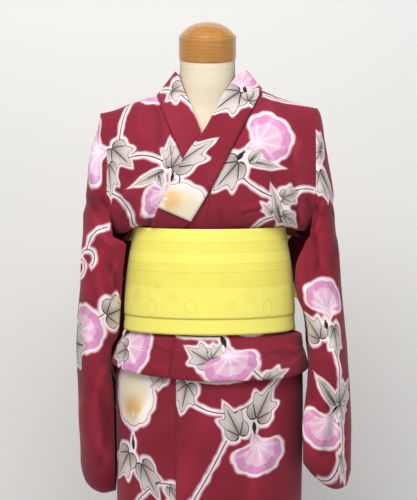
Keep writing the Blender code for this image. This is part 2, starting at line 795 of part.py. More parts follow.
def collar_point(place, across):
    """A point of the collar: across is 0 at the fold edge and 1 at the seam."""
    kind, side, value = place
    if kind == "front":
        fold_height, seam_height, fold_y = value
        fold_x = read(OVER_COLLAR_FOLD if side > 0 else UNDER_COLLAR_FOLD, fold_height)
        seam_x = read(OVER_COLLAR_SEAM if side > 0 else UNDER_COLLAR_SEAM, seam_height)
        off = OVER_COLLAR if side > 0 else UNDER_COLLAR
        seam_off = (OVER_BODY if side > 0 else UNDER_BODY) + WALL + SEAM_SEAT
        here = lerp(off, seam_off, smooth((across - 0.75) / 0.25))
        x = lerp(fold_x, seam_x, across)
        z = lerp(fold_height, seam_height, across)
        point = front_point(x, z, here)
        if fold_y is not None:
            seam_y = front_point(seam_x, seam_height, seam_off).y
            point.y = lerp(min(point.y, lerp(fold_y, seam_y, across)), point.y, across)
            point.z = z
        return point
    share = back_inner_share(side, arch(value), WALL + SEAM_SEAT)
    body_off = body_offset(side, share, value < 89.0)
    seam = body_point(share, arch(value), body_off + WALL + SEAM_SEAT, True)
    turn = math.asin(min(1.0, (90.0 - value) / (90.0 - NECK_BACK_ANGLE)))
    shoulder = FOLD_SHOULDER[1 if side > 0 else 0]
    fold = Vector((
        lerp(NECK_X, shoulder[0], math.cos(turn)),
        lerp(shoulder[1], FOLD_BACK_DEPTH, math.sin(turn)),
        lerp(shoulder[2], FOLD_BACK_Z, math.sin(turn)),
    ))
    return fold.lerp(seam, across)


def collar_strip(name, rows, rise):
    def place(column, row):
        return collar_point(rows[row], column / (COLLAR_ACROSS - 1))

    def lift(bm):
        bm.normal_update()
        for vert in bm.verts:
            vert.co += vert.normal * rise

    return sheet(name, COLLAR_ACROSS, len(rows), place, "robe_cotton", shape=lift if rise else None)


def collar():
    rows = collar_stations()
    collar_strip("collar_band", rows, 0.0)
    covered = []
    for kind, side, value in rows:
        low = COVER_LOW_OVER if side > 0 else COVER_LOW_UNDER
        if kind == "neck" or value[0] > low - 1e-6:
            covered.append((kind, side, value))
    collar_strip("over_collar", covered, COVER_RISE)


# ---- obi ---------------------------------------------------------------------------------------
def obi_turn(name, low, levels, rise):
    angles = [-175.0] + [-170.0 + COLUMN_STEP * k for k in range(35)] + [175.0]
    heights = [low] + [z for z in levels if low < z < low + OBI_WIDTH] + [low + OBI_WIDTH]

    def place(column, row):
        angle = angles[column]
        off = lerp(OBI_FRONT, OBI_BACK, smooth((abs(angle) - 70.0) / 110.0)) + rise
        return tube_point(angle, heights[row], off)

    return sheet(name, len(angles), len(heights), place, "obi_cloth")


def knot():
    bpy.ops.mesh.primitive_cube_add(size=1.0)
    obj = bpy.context.object
    obj.name = "obi_knot"
    obj.data.name = "obi_knot"
    for vert in obj.data.vertices:
        vert.co = Vector((
            vert.co.x * KNOT_SIZE[0],
            KNOT_FRONT_Y + (vert.co.y + 0.5) * KNOT_SIZE[1],
            KNOT_Z + vert.co.z * KNOT_SIZE[2],
        ))
    obj.data.materials.append(material("obi_cloth"))
    bevel = obj.modifiers.new("round", "BEVEL")
    bevel.width = 0.007
    bevel.segments = 2
    gather(obj)


def wing(name, side):
    """A loop of the bow: out along the ply by the body, round the tip, back along the outer ply."""
    steps = 15
    heights = 6
    root = 0.5 * KNOT_SIZE[0] + 0.0004

    def place(column, row):
        s = column / (steps - 1)
        if side < 0:
            s = 1.0 - s
        turn = math.pi * s
        reach = 1.0 - abs(math.cos(turn)) ** 3.0 if abs(turn - 0.5 * math.pi) > 0.01 else 1.0
        x = lerp(root, WING_SPAN if side > 0 else WING_SPAN_RIGHT, reach)
        middle_y = 0.5 * (WING_INNER_Y + WING_OUTER_Y)
        half_y = 0.5 * (WING_OUTER_Y - WING_INNER_Y)
        y = middle_y - half_y * math.cos(turn) * (1.0 + 0.9 * math.sin(turn))
        height = lerp(WING_ROOT_HEIGHT, WING_TIP_HEIGHT, smooth(reach * 1.25))
        z = KNOT_Z + 0.006 - WING_DROOP * reach ** 2 + height * (row / (heights - 1) - 0.5)
        return Vector((side * x, y, z))

    return sheet(name, steps, heights, place, "obi_cloth")


def tail():
    columns = 5
    rows = 6
    top = KNOT_Z - 0.5 * KNOT_SIZE[2] - 0.0005

    def place(column, row):
        share = 1.0 - row / (rows - 1)
        half = lerp(0.016, 0.052, smooth(share * 1.4))
        y = lerp(KNOT_FRONT_Y + 0.008, 0.1370, share)
        return Vector((half * (1.0 - 2.0 * column / (columns - 1)), y, lerp(top, TAIL_LOW_Z, share)))

    return sheet("obi_tail", columns, rows, place, "obi_cloth")


def obi():
    levels = (0.874, 0.940, 1.000, 1.076)
    obi_turn("obi_first_turn", OBI_FIRST_LOW, levels, 0.0)
    obi_turn("obi_second_turn", OBI_SECOND_LOW, levels, OBI_TURN_RISE)
    knot()
    wing("obi_wing_left", 1)
    wing("obi_wing_right", -1)
    tail()


# ---- dress form --------------------------------------------------------------------------------
def form_torso():
    hips = [(z, read(FIGURE, z, 1), read(FIGURE, z, 2), read(FIGURE, z, 3))
            for z in (FORM_BOTTOM_Z, 0.790, 0.840, 0.874, SKIRT_TOP_Z)]
    rows = [(z, half - FORM_CLEAR, front - FORM_CLEAR, back - FORM_CLEAR) for z, half, front, back in hips]
    rows += list(FORM_CHEST)
    bm = bmesh.new()
    bmesh.ops.create_grid(bm, x_segments=TURN_STEPS, y_segments=len(rows) - 1, size=1.0)
    for vert in bm.verts:
        column = round((vert.co.x + 1.0) * 0.5 * TURN_STEPS) % TURN_STEPS
        z, half, front, back = rows[round((vert.co.y + 1.0) * 0.5 * (len(rows) - 1))]
        turn = math.tau * column / TURN_STEPS
        lean = smooth((z - 1.32) / (NECK_TOP_Z - 1.32))
        y = -(front if math.cos(turn) >= 0.0 else back) * math.cos(turn)
        z += lean * y * math.tan(math.radians(NECK_TILT))
        vert.co = Vector((half * math.sin(turn) + NECK_X * smooth((z - 1.27) / 0.05), y, z))
    bmesh.ops.remove_doubles(bm, verts=bm.verts[:], dist=1e-5)
    bmesh.ops.holes_fill(bm, edges=[e for e in bm.edges if e.is_boundary], sides=0)
    add_object("form_torso", bm, "form_linen")


def turned(name, profile, finish):
    bm = bmesh.new()
    verts = [bm.verts.new((radius, 0.0, z)) for radius, z in profile]
    for low, high in zip(verts, verts[1:]):
        bm.edges.new((low, high))
    obj = add_object(name, bm, finish)
    screw = obj.modifiers.new("turn", "SCREW")
    screw.axis = "Z"
    screw.steps = TURN_STEPS
    screw.render_steps = TURN_STEPS
    screw.use_merge_vertices = True
    screw.merge_threshold = 0.0001
    screw.use_smooth_shade = True
    return obj


def form_stand():
    cap = turned("form_neck_cap", CAP_PROFILE, "form_wood")
    cap.location = (NECK_X, 0.0, NECK_TOP_Z)
    cap.rotation_euler = (math.radians(NECK_TILT), 0.0, 0.0)
    low = FOOT_PROFILE[0][1] + SEAM_GAP
    high = FORM_BOTTOM_Z - SEAM_GAP
    bpy.ops.mesh.primitive_cylinder_add(
        vertices=24, radius=POLE_RADIUS, depth=high - low, location=(0.0, 0.0, 0.5 * (low + high)))
    pole = bpy.context.object
    pole.name = "form_pole"
    pole.data.name = "form_pole"
    pole.data.materials.append(material("stand_metal"))
    pole.data.shade_smooth()
    pole.data.set_sharp_from_angle(angle=math.radians(40.0))
    gather(pole)
    turned("form_foot", FOOT_PROFILE, "stand_metal")


clear_scene()
COLLECTION = bpy.data.collections.new("cotton_yukata_on_dress_form")
bpy.context.scene.collection.children.link(COLLECTION)
for length_name, okumi_name, sleeve_name, wearer_side in (
    ("body_right", "okumi_right", "sleeve_right", -1),
    ("body_left", "okumi_left", "sleeve_left", 1),
):
    body_length(length_name, wearer_side)
    okumi(okumi_name, wearer_side)
    sleeve(sleeve_name, wearer_side)
skirt()
collar()
obi()
form_torso()
form_stand()
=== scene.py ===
"""Looks of a cotton yukata robe with its obi, worn on a linen dress form on a stand.

Sizes are metres. +Z is up, -Y is out of the front, and +X is to the wearer's left.
"""
import math

import bmesh
import bpy
import numpy as np
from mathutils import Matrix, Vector


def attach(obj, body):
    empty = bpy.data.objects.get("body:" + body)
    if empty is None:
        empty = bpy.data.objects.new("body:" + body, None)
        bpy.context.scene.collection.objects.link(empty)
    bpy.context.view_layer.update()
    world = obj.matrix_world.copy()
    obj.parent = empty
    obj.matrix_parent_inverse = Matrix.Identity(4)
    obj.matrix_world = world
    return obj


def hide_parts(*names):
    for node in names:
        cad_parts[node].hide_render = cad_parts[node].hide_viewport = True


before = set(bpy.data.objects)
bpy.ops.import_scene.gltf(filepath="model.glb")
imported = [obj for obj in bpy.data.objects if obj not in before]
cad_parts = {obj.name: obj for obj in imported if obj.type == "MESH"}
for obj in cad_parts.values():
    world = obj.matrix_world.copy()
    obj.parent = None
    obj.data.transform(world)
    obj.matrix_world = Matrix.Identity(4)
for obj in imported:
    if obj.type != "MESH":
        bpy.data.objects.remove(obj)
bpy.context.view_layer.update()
bpy.ops.object.select_all(action="DESELECT")

# ---- sizes shared with the solids --------------------------------------------------------------
WALL = 0.0015                # cloth wall
HEM_Z = 0.06                 # lower edge of the skirt
SKIRT_TOP_Z = 0.925          # where the skirt stretch starts, under the obi
TUCK_Z = 0.797               # fold at the bottom of the waist tuck, at the wearer's left
TUCK_DIP = 0.009             # how much lower the fold hangs at the front
TUCK_RISE = 0.011            # how much higher it is at the wearer's right
TUCK_TURN_UP = 0.04          # height of the turned-up inner ply of the tuck
ARCH_Z = 1.13                # from here up the cloth rounds back over the shoulders
OBI_WIDTH = 0.172
OBI_FIRST_LOW = 0.874
OBI_SECOND_LOW = 0.904
CHEST_Z = 1.2                # the section that the arch is drawn from
FULL_SIDE_DEPTH = 0.038
CHEST_POWER = 1.3
FRONT_ARCH_POWER = 2.1
BACK_ARCH_POWER = 3.0
NECK_X = -0.004              # the neck stands a little to one side

# how far each layer's inner face lies outside the base figure
OVER_SKIRT = 0.004
TUCK_INNER = 0.0096
TUCK_OUTER = 0.0172
TUCK_LEFT_OUT = 0.0286       # just under the obi, where it stands out at the wearer's left
UNDER_BODY = 0.0085
BACK_BODY = 0.012
OVER_BODY = 0.015
UNDER_COLLAR = 0.0118
OVER_COLLAR = 0.018
COVER_RISE = 0.0025          # the cover strip over the collar band
OBI_FRONT = 0.021
OBI_BACK = 0.0145
OBI_TURN_RISE = 0.0023       # the second turn over the first
SEAM_SEAT = 0.001            # the collar's seam edge over the body's edge

# base figure: half width, front depth and back depth of the level cross-section
FIGURE = (
    # z,    half,   front,  back
    (0.0, 0.165, 0.115, 0.118),
    (0.3, 0.171, 0.118, 0.122),
    (0.56, 0.177, 0.121, 0.125),
    (0.72, 0.179, 0.121, 0.126),
    (0.79, 0.178, 0.119, 0.124),
    (0.84, 0.165, 0.108, 0.115),
    (0.874, 0.147, 0.098, 0.105),
    (0.94, 0.143, 0.095, 0.1),
    (1.0, 0.137, 0.092, 0.096),
    (1.076, 0.126, 0.087, 0.093),
    (1.081, 0.146, 0.0893, 0.0944),
    (1.087, 0.168, 0.092, 0.096),
    (1.102, 0.183, 0.098, 0.099),
    (1.12, 0.187, 0.102, 0.101),
    (1.15, 0.19, 0.104, 0.103),
    (1.36, 0.19, 0.104, 0.103),
)
# depth left at the side edge, where front and back hang apart at the sleeve seam
SIDE_DEPTH = (
    # z,    depth
    (1.076, 0.0),
    (1.092, 0.012),
    (1.112, 0.03),
    (1.132, 0.038),
    (1.36, 0.04),
)
# how far the full cloth over the obi sags beside it
SIDE_SAG = (
    # z,    right,  left
    (1.081, 0.0, 0.0),
    (1.087, 0.027, 0.022),
    (1.102, 0.019, 0.015),
    (1.12, 0.006, 0.004),
    (1.13, 0.0, 0.0),
)
BACK_SAG = 1.7               # how much lower it sags behind
# the shoulder line, from the neck out to the sleeve seam
CREST = (
    # |x|,  right,  left
    (0.0, 1.328, 1.328),
    (0.06, 1.323, 1.329),
    (0.1, 1.317, 1.323),
    (0.135, 1.309, 1.309),
    (0.155, 1.302, 1.303),
    (0.188, 1.29, 1.293),
    (0.24, 1.281, 1.282),
)
# edges on the front, as x at each height
OVER_COLLAR_SEAM = (
    # z,     x
    (0.7, -0.32),
    (1.092, -0.0355),
    (1.198, 0.0266),
    (1.248, 0.0517),
    (1.296, 0.0776),
    (1.345, 0.1036),
)
OVER_COLLAR_FOLD = (
    (0.7, -0.4),
    (1.08, -0.1136),
    (1.118, -0.0971),
    (1.163, -0.0728),
    (1.21, -0.0498),
    (1.268, -0.0087),
    (1.36, 0.0447),
    (1.3705, 0.056),
)
UNDER_COLLAR_SEAM = (
    (0.9, 0.079),
    (1.076, 0.0066),
    (1.209, -0.0499),
    (1.262, -0.074),
    (1.34, -0.106),
)
UNDER_COLLAR_FOLD = (
    (0.9, 0.133),
    (1.076, 0.061),
    (1.262, -0.0148),
    (1.331, -0.0433),
    (1.373, -0.0604),
)
LEFT_OKUMI_SEAM = (
    (0.78, -0.069),
    (0.87, -0.071),
    (1.081, -0.0104),
    (1.163, 0.0061),
)
RIGHT_OKUMI_SEAM = (
    (0.88, 0.0),
    (1.081, -0.02),
    (1.155, -0.027),
)
NECK_SIDE_X = 0.1            # collar seam on the shoulder line
NECK_BACK_ANGLE = 54.0       # how far the back of the neck opening lies down the back arch
LEFT_OKUMI_TURN = -86.0      # where the over front ends, round at the wearer's right side
TIP_SHARE = 0.008            # least width of an overlap panel's tip

# sleeves below the seam: body-side and outer x, half depth, its middle, the turn of each side,
# and how far x grows from front to back
SLEEVE_RIGHT = (
    # z,    inner,  outer,  depth, centre, turn, skew
    (1.096, 0.196, 0.2465, 0.045, 0.004, 106, 0.0),
    (1.058, 0.1885, 0.2472, 0.053, 0.006, 116, 0.0),
    (1.042, 0.159, 0.2478, 0.055, 0.008, 125, -0.08),
    (0.985, 0.164, 0.25, 0.064, 0.014, 132, -0.12),
    (0.9, 0.171, 0.258, 0.072, 0.024, 138, -0.1),
    (0.868, 0.1755, 0.2605, 0.074, 0.028, 138, -0.06),
    (0.838, 0.1915, 0.2625, 0.076, 0.034, 138, 0.0),
    (0.8, 0.1955, 0.262, 0.078, 0.036, 138, 0.0),
    (0.755, 0.19, 0.26, 0.078, 0.036, 138, 0.0),
    (0.69, 0.188, 0.2585, 0.077, 0.036, 136, 0.0),
    (0.625, 0.187, 0.256, 0.07, 0.036, 134, 0.0),
)
SLEEVE_LEFT = (
    (1.096, 0.2025, 0.245, 0.045, 0.002, 100, 0.0),
    (1.064, 0.1915, 0.2465, 0.052, 0.004, 114, -0.12),
    (1.044, 0.1715, 0.248, 0.056, 0.006, 123, -0.3),
    (0.993, 0.164, 0.2545, 0.064, 0.008, 140, -0.12),
    (0.945, 0.171, 0.259, 0.069, 0.006, 138, 0.02),
    (0.924, 0.1775, 0.2607, 0.071, 0.004, 138, 0.0),
    (0.903, 0.1865, 0.2625, 0.073, 0.0, 137, 0.0),
    (0.87, 0.191, 0.2655, 0.075, -0.003, 135, 0.0),
    (0.85, 0.192, 0.2675, 0.076, -0.005, 134, 0.0),
    (0.8, 0.1955, 0.271, 0.078, -0.012, 132, 0.03),
    (0.755, 0.191, 0.274, 0.078, -0.02, 134, 0.07),
    (0.69, 0.188, 0.2765, 0.077, -0.03, 137, 0.12),
    (0.625, 0.188, 0.2755, 0.07, -0.036, 140, 0.14),
)
# lowest edge of each sleeve, from its body side (-1) to its outer side (+1)
SLEEVE_RIGHT_HEM = (
    (-1.0, 0.545),
    (-0.3, 0.54),
    (0.2, 0.546),
    (0.6, 0.558),
    (0.85, 0.576),
    (1.0, 0.6),
)
SLEEVE_LEFT_HEM = (
    (-1.0, 0.612),
    (-0.6, 0.59),
    (-0.1, 0.571),
    (0.4, 0.562),
    (0.8, 0.568),
    (1.0, 0.596),
)
SHOULDER_DROP = (
    # height below the shoulder line, how far the outer fold stands out: right, left
    (0.0, 0.013, 0.005),
    (0.01, 0.0145, 0.01),
    (0.035, 0.019, 0.015),
    (0.06, 0.027, 0.018),
    (0.095, 0.0345, 0.024),
    (0.13, 0.0375, 0.031),
    (0.165, 0.042, 0.0375),
)
SLEEVE_ROWS = (0.63, 0.68, 0.725, 0.762, 0.8, 0.838, 0.868, 0.903, 0.955, 1.0, 1.043, 1.061, 1.096)
SHOULDER_SLOPE = 0.2         # fall of the cloth beyond the sleeve seam
CUFF_TOP_Z = 0.955
CUFF_LOW_Z = 0.725
CUFF_PART = 0.01             # how far each lip of the cuff stands off the middle

# large folds that shape the cloth: a line from (x1, z1) to (x2, z2), its half width and its depth
FRONT_FOLDS = (
    # x1,     z1,     x2,     z2,    width, depth
    (-0.16, 1.15, -0.128, 1.082, 0.018, 0.006),
    (-0.18, 1.155, -0.15, 1.098, 0.013, -0.004),
    (0.166, 1.15, 0.14, 1.084, 0.018, 0.006),
    (0.182, 1.136, 0.16, 1.098, 0.013, -0.004),
    (-0.098, 1.3, -0.076, 1.235, 0.014, 0.003),
)

# collar: heights of the fold edge at each station, from the obi up
OVER_STATIONS = (
    # fold z, seam z, y of the fold edge where it stands off the chest
    (1.05, 1.0244, None),
    (1.066, 1.0504, None),
    (1.0765, 1.063, None),
    (1.088, 1.07, None),
    (1.0985, 1.078, None),
    (1.108, 1.086, None),
    (1.1177, 1.0921, None),
    (1.13, 1.102, None),
    (1.146, 1.12, None),
    (1.168, 1.1424, None),
    (1.192, 1.1667, None),
    (1.208, 1.1833, None),
    (1.225, 1.2, None),
    (1.245, 1.2205, None),
    (1.266, 1.241, -0.102),
    (1.3016, 1.276, -0.081),
    (1.331, 1.3028, -0.06),
    (1.35, 1.3193, -0.044),
    (1.362, 1.3303, -0.03),
    (1.3705, 1.3358, -0.015),
)
UNDER_STATIONS = (
    (1.128, 1.102, None),
    (1.1456, 1.12, None),
    (1.168, 1.1424, None),
    (1.1903, 1.1647, None),
    (1.222, 1.1964, None),
    (1.2605, 1.2349, -0.0935),
    (1.2936, 1.268, -0.0785),
    (1.32, 1.2922, -0.062),
    (1.34, 1.3069, -0.047),
    (1.353, 1.3175, -0.032),
    (1.365, 1.3235, -0.017),
)
COVER_LOW_OVER = 1.1177      # the cover strip's cut end, on the chest
COVER_LOW_UNDER = 1.2
FOLD_SHOULDER = ((-0.064, -0.001, 1.3742), (0.07, 0.001, 1.377))
FOLD_BACK_DEPTH = 0.092
FOLD_BACK_Z = 1.36

# bow of the obi, at the back
KNOT_SIZE = (0.05, 0.026, 0.085)
KNOT_Z = 1.035
KNOT_FRONT_Y = 0.1148
WING_SPAN = 0.178
WING_SPAN_RIGHT = 0.162
WING_ROOT_HEIGHT = 0.05
WING_TIP_HEIGHT = 0.122
WING_DROOP = 0.062
WING_INNER_Y = 0.1215
WING_OUTER_Y = 0.138
TAIL_LOW_Z = 0.868

# dress form
FORM_CLEAR = 0.0006          # between the form's hips and the skirt that rests on them
FORM_BOTTOM_Z = 0.72
NECK_TOP_Z = 1.4003
NECK_TILT = 10.0             # degrees that the top of the neck leans forwards
FORM_CHEST = (
    # z,    half,   front,  back
    (1.0, 0.12, 0.082, 0.086),
    (1.06, 0.125, 0.084, 0.087),
    (1.077, 0.127, 0.085, 0.088),
    (1.095, 0.148, 0.089, 0.09),
    (1.115, 0.159, 0.093, 0.092),
    (1.15, 0.164, 0.097, 0.093),
    (1.2, 0.167, 0.095, 0.093),
    (1.24, 0.168, 0.085, 0.089),
    (1.262, 0.164, 0.076, 0.083),
    (1.28, 0.151, 0.066, 0.074),
    (1.294, 0.126, 0.057, 0.066),
    (1.306, 0.099, 0.052, 0.061),
    (1.317, 0.078, 0.0505, 0.057),
    (1.33, 0.064, 0.0505, 0.0545),
    (1.348, 0.057, 0.052, 0.0538),
    (1.37, 0.054, 0.053, 0.0538),
    (NECK_TOP_Z, 0.0538, 0.0538, 0.0538),
)
CAP_PROFILE = (
    # radius, height above the neck
    (0.0, 0.0715),
    (0.014, 0.0705),
    (0.027, 0.0672),
    (0.039, 0.061),
    (0.048, 0.053),
    (0.051, 0.049),
    (0.0512, 0.047),
    (0.0535, 0.0472),
    (0.0556, 0.045),
    (0.0558, 0.038),
    (0.0558, 0.002),
    (0.0548, 0.0003),
    (0.0, 0.0003),
)

CLOTH = 0.0007               # thickness of the shown cloth, inside the solid's wall
GRID = 0.005                 # spacing of the shown cloth's points


# ---- curves ------------------------------------------------------------------------------------
def lerp(low, high, share):
    return low + (high - low) * share


def smooth(share):
    share = min(1.0, max(0.0, share))
    return share * share * (3.0 - 2.0 * share)


def curve_through(keys, values, at):
    """Smooth values at each place, through all the given ones and never past them."""
    keys = np.asarray(keys, float)
    values = np.asarray(values, float)
    at = np.clip(np.asarray(at, float), keys[0], keys[-1])
    shape = (-1,) + (1,) * (values.ndim - 1)
    step = np.diff(keys).reshape(shape)
    slope = np.diff(values, axis=0) / step
    tangent = np.zeros_like(values)
    tangent[0], tangent[-1] = slope[0], slope[-1]
    if len(keys) > 2:
        before, after = slope[:-1], slope[1:]
        same = before * after > 0.0
        first, second = 2.0 * step[1:] + step[:-1], step[1:] + 2.0 * step[:-1]
        safe_before = np.where(same, before, 1.0)
        safe_after = np.where(same, after, 1.0)
        mean = (first + second) / (first / safe_before + second / safe_after)
        tangent[1:-1] = np.where(same, mean, 0.0)
    index = np.clip(np.searchsorted(keys, at, side="right") - 1, 0, len(keys) - 2)
    width = step[index]
    share = ((at - keys[index]) / np.diff(keys)[index]).reshape(shape)
    square, cube = share ** 2, share ** 3
    return ((2 * cube - 3 * square + 1) * values[index] + (cube - 2 * square + share) * width * tangent[index]
            + (3 * square - 2 * cube) * values[index + 1] + (cube - square) * width * tangent[index + 1])


TABLES = {}


def read(table, key, column=1):
    """A table's column at a key, on a smooth curve through its rows."""
    ready = TABLES.get((id(table), column))
    if ready is None:
        rows = sorted(table)
        keys = [row[0] for row in rows]
        places = np.linspace(keys[0], keys[-1], 600)
        samples = curve_through(keys, [row[column] for row in rows], places).tolist()
        ready = (keys[0], 599.0 / (keys[-1] - keys[0]), samples)
        TABLES[(id(table), column)] = ready
    start, scale, samples = ready
    place = min(598.999, max(0.0, (key - start) * scale))
    index = int(place)
    return samples[index] + (samples[index + 1] - samples[index]) * (place - index)


# ---- the figure and its layers, as in the solids -----------------------------------------------
SKIRT_SEAM_X = -0.064
UNDER_SKIRT_SEAM = 22.0
UNDER_SKIRT_TURN = 78.0
OVER_SKIRT_TURN = -87.0


def tube_point(angle, z, off):
    """A point at this angle round the figure, 0 at the front and 90 at the wearer's left."""
    turn = math.radians(angle)
    half = read(FIGURE, z, 1) + off
    depth = read(FIGURE, z, 2 if math.cos(turn) >= 0.0 else 3) + off
    return Vector((half * math.sin(turn), -depth * math.cos(turn), z))


def crest_z(x, off):
    return read(CREST, abs(x), 2 if x > 0.0 else 1) + off


def fold_push(x, z):
    """How far the large folds push the front cloth out at this place."""
    push = 0.0
    for x1, z1, x2, z2, width, depth in FRONT_FOLDS:
        run_x, run_z = x2 - x1, z2 - z1
        length = math.hypot(run_x, run_z)
        along = ((x - x1) * run_x + (z - z1) * run_z) / length
        across = ((x - x1) * run_z - (z - z1) * run_x) / length
        ends = smooth((along + width) / (2.0 * width)) * smooth((length + width - along) / (2.0 * width))
        push += depth * ends * math.exp(-(across / width) ** 2)
    return push


def body_point(share, level, off, back):
    """A point on the bodice: share is -1 at the wearer's right edge and 1 at the left.

    level is a height below the arch, and above it ARCH_Z plus an angle in degrees, up to 90.
    """
    angle = max(0.0, level - ARCH_Z)
    height = CHEST_Z if angle > 0.0 else level
    edge = read(SIDE_DEPTH, height)
    spread = min(1.0, edge / FULL_SIDE_DEPTH)
    turn = math.radians(90.0 * share)
    half = read(FIGURE, height, 1) + off
    x = half * lerp(math.sin(turn), share, 0.75 * spread)
    rounding = lerp(math.cos(turn), max(0.0, 1.0 - share * share) ** CHEST_POWER, spread)
    edge += off * spread
    middle = read(FIGURE, height, 3 if back else 2) + off
    depth = edge + (middle - edge) * rounding
    sag = read(SIDE_SAG, height, 2 if share > 0.0 else 1)
    if back:
        z = height - BACK_SAG * sag * smooth((abs(share) - 0.38) / 0.34)
    else:
        z = height - sag * smooth((abs(share) - 0.55) / 0.36)
    if angle > 0.0:
        power = BACK_ARCH_POWER if back else FRONT_ARCH_POWER
        rise = math.sin(math.radians(angle)) ** (2.0 / power)
        depth *= max(0.0, math.cos(math.radians(angle))) ** (2.0 / power)
        z = ARCH_Z + (crest_z(x, off) - ARCH_Z) * rise
    if not back:
        depth += fold_push(x, z)
    return Vector((x, depth if back else -depth, z))


def arch(angle):
    return ARCH_Z + angle


def share_at_edge(edge, level, off):
    """The share of the width at which a front row meets an edge given as x at each height."""
    low, high = -1.0, 1.0
    for _ in range(40):
        middle = 0.5 * (low + high)
        point = body_point(middle, level, off, False)
        if point.x < read(edge, point.z):
            low = middle
        else:
            high = middle
    return 0.5 * (low + high)


def body_offset(side, share, back):
    """The layer of a body length: over at the left front, under at the right, level at the back."""
    front = OVER_BODY if side > 0 else UNDER_BODY
    return lerp(BACK_BODY, front, share * share) if back else front


def back_inner_share(side, level, rise=0.0):
    """The body's inner edge at the back: round the neck, then down the centre seam."""
    angle = level - ARCH_Z
    if angle <= NECK_BACK_ANGLE:
        return 0.0
    turn = (90.0 - angle) / (90.0 - NECK_BACK_ANGLE)
    x = NECK_SIDE_X * math.sqrt(max(0.0, 1.0 - turn * turn))
    off = body_offset(side, x / 0.2, angle < 89.0) + rise
    return side * share_at_x(x, level, off)


def okumi_share(side, level, off):
    edge = LEFT_OKUMI_SEAM if side > 0 else RIGHT_OKUMI_SEAM
    return share_at_edge(edge, level, off)


def front_inner_share(side, level, off):
    """The inner edge of a body front: along the collar seam, then along the okumi seam."""
    collar = OVER_COLLAR_SEAM if side > 0 else UNDER_COLLAR_SEAM
    pick = max if side > 0 else min
    return pick(share_at_edge(collar, level, off), okumi_share(side, level, off))


def fold_z(angle):
    turn = math.radians(angle)
    return TUCK_Z - TUCK_DIP * smooth(1.4 * math.cos(turn)) + TUCK_RISE * smooth(-math.sin(turn))


def tuck_shoulder(angle, top_off):
    """Offset of the tuck's outer ply just under the obi."""
    out = smooth((angle - 40.0) / 40.0) * smooth((150.0 - angle) / 40.0)
    return lerp(lerp(TUCK_OUTER, top_off, 0.7), TUCK_LEFT_OUT, out)


def skirt_seam_angle(z):
    half = read(FIGURE, z, 1) + OVER_SKIRT
    return math.degrees(math.asin(SKIRT_SEAM_X / half))


def collar_stations():
    """Stations of the collar from the over side's end, round the neck, to the under side's end."""
    rows = [("front", 1, station) for station in OVER_STATIONS]
    round_neck = (90.0, 82.0, 73.0, 64.0, 59.0, 55.5)
    rows += [("neck", 1, angle) for angle in round_neck + (NECK_BACK_ANGLE,)]
    rows += [("neck", -1, angle) for angle in reversed(round_neck)]
    rows += [("front", -1, station) for station in reversed(UNDER_STATIONS)]
    return rows


def collar_point(place, across):
    """A point of the collar: across is 0 at the fold edge and 1 at the seam."""
    kind, side, value = place
    if kind == "front":
        fold_height, seam_height, fold_y = value
        fold_x = read(OVER_COLLAR_FOLD if side > 0 else UNDER_COLLAR_FOLD, fold_height)
        seam_x = read(OVER_COLLAR_SEAM if side > 0 else UNDER_COLLAR_SEAM, seam_height)
        off = OVER_COLLAR if side > 0 else UNDER_COLLAR
        seam_off = (OVER_BODY if side > 0 else UNDER_BODY) + WALL + SEAM_SEAT
        here = lerp(off, seam_off, smooth((across - 0.75) / 0.25))
        x = lerp(fold_x, seam_x, across)
        z = lerp(fold_height, seam_height, across)
        point = front_point(x, z, here)
        if fold_y is not None:
            seam_y = front_point(seam_x, seam_height, seam_off).y
            point.y = lerp(min(point.y, lerp(fold_y, seam_y, across)), point.y, across)
            point.z = z
        return point
    share = back_inner_share(side, arch(value), WALL + SEAM_SEAT)
    body_off = body_offset(side, share, value < 89.0)
    seam = body_point(share, arch(value), body_off + WALL + SEAM_SEAT, True)
    turn = math.asin(min(1.0, (90.0 - value) / (90.0 - NECK_BACK_ANGLE)))
    shoulder = FOLD_SHOULDER[1 if side > 0 else 0]
    fold = Vector((
        lerp(NECK_X, shoulder[0], math.cos(turn)),
        lerp(shoulder[1], FOLD_BACK_DEPTH, math.sin(turn)),
        lerp(shoulder[2], FOLD_BACK_Z, math.sin(turn)),
    ))
    return fold.lerp(seam, across)


def share_at_x(x, level, off):
    """The share of the width at which a front row lies at x."""
    low, high = -1.0, 1.0
    for _ in range(30):
        middle = 0.5 * (low + high)
        if body_point(middle, level, off, False).x < x:
            low = middle
        else:
            high = middle
    return 0.5 * (low + high)


def front_point(x, z, off):
    """The front cloth at a given x and height."""
    level = z
    if z > ARCH_Z:
        rise = min(1.0, (z - ARCH_Z) / (crest_z(x, off) - ARCH_Z))
        level = arch(math.degrees(math.asin(rise ** (FRONT_ARCH_POWER / 2.0))))
    return body_point(share_at_x(x, level, off), level, off, False)


# ---- making cloth ------------------------------------------------------------------------------
FLAT = {}                    # each piece's points and their places on the flat cloth
SEWN_GAP = 0.0001            # between the shown sleeve and body
CLOTH_RISE = 0.00085         # a shown sheet's middle over the inner face of its solid
WELD = 1e-5                  # points closer than this are one
MILLIMETRES = 1000.0         # in a metre: the motif and crease tables are in millimetres


def spaced(start, end, step):
    count = max(1, round(abs(end - start) / step))
    return [start + (end - start) * k / count for k in range(count + 1)]


def facing(points):
    """The outward direction at each point of a sheet."""
    across = np.gradient(points, axis=1)
    along = np.gradient(points, axis=0)
    out = np.cross(across, along)
    return out / np.maximum(np.linalg.norm(out, axis=2, keepdims=True), 1e-12)


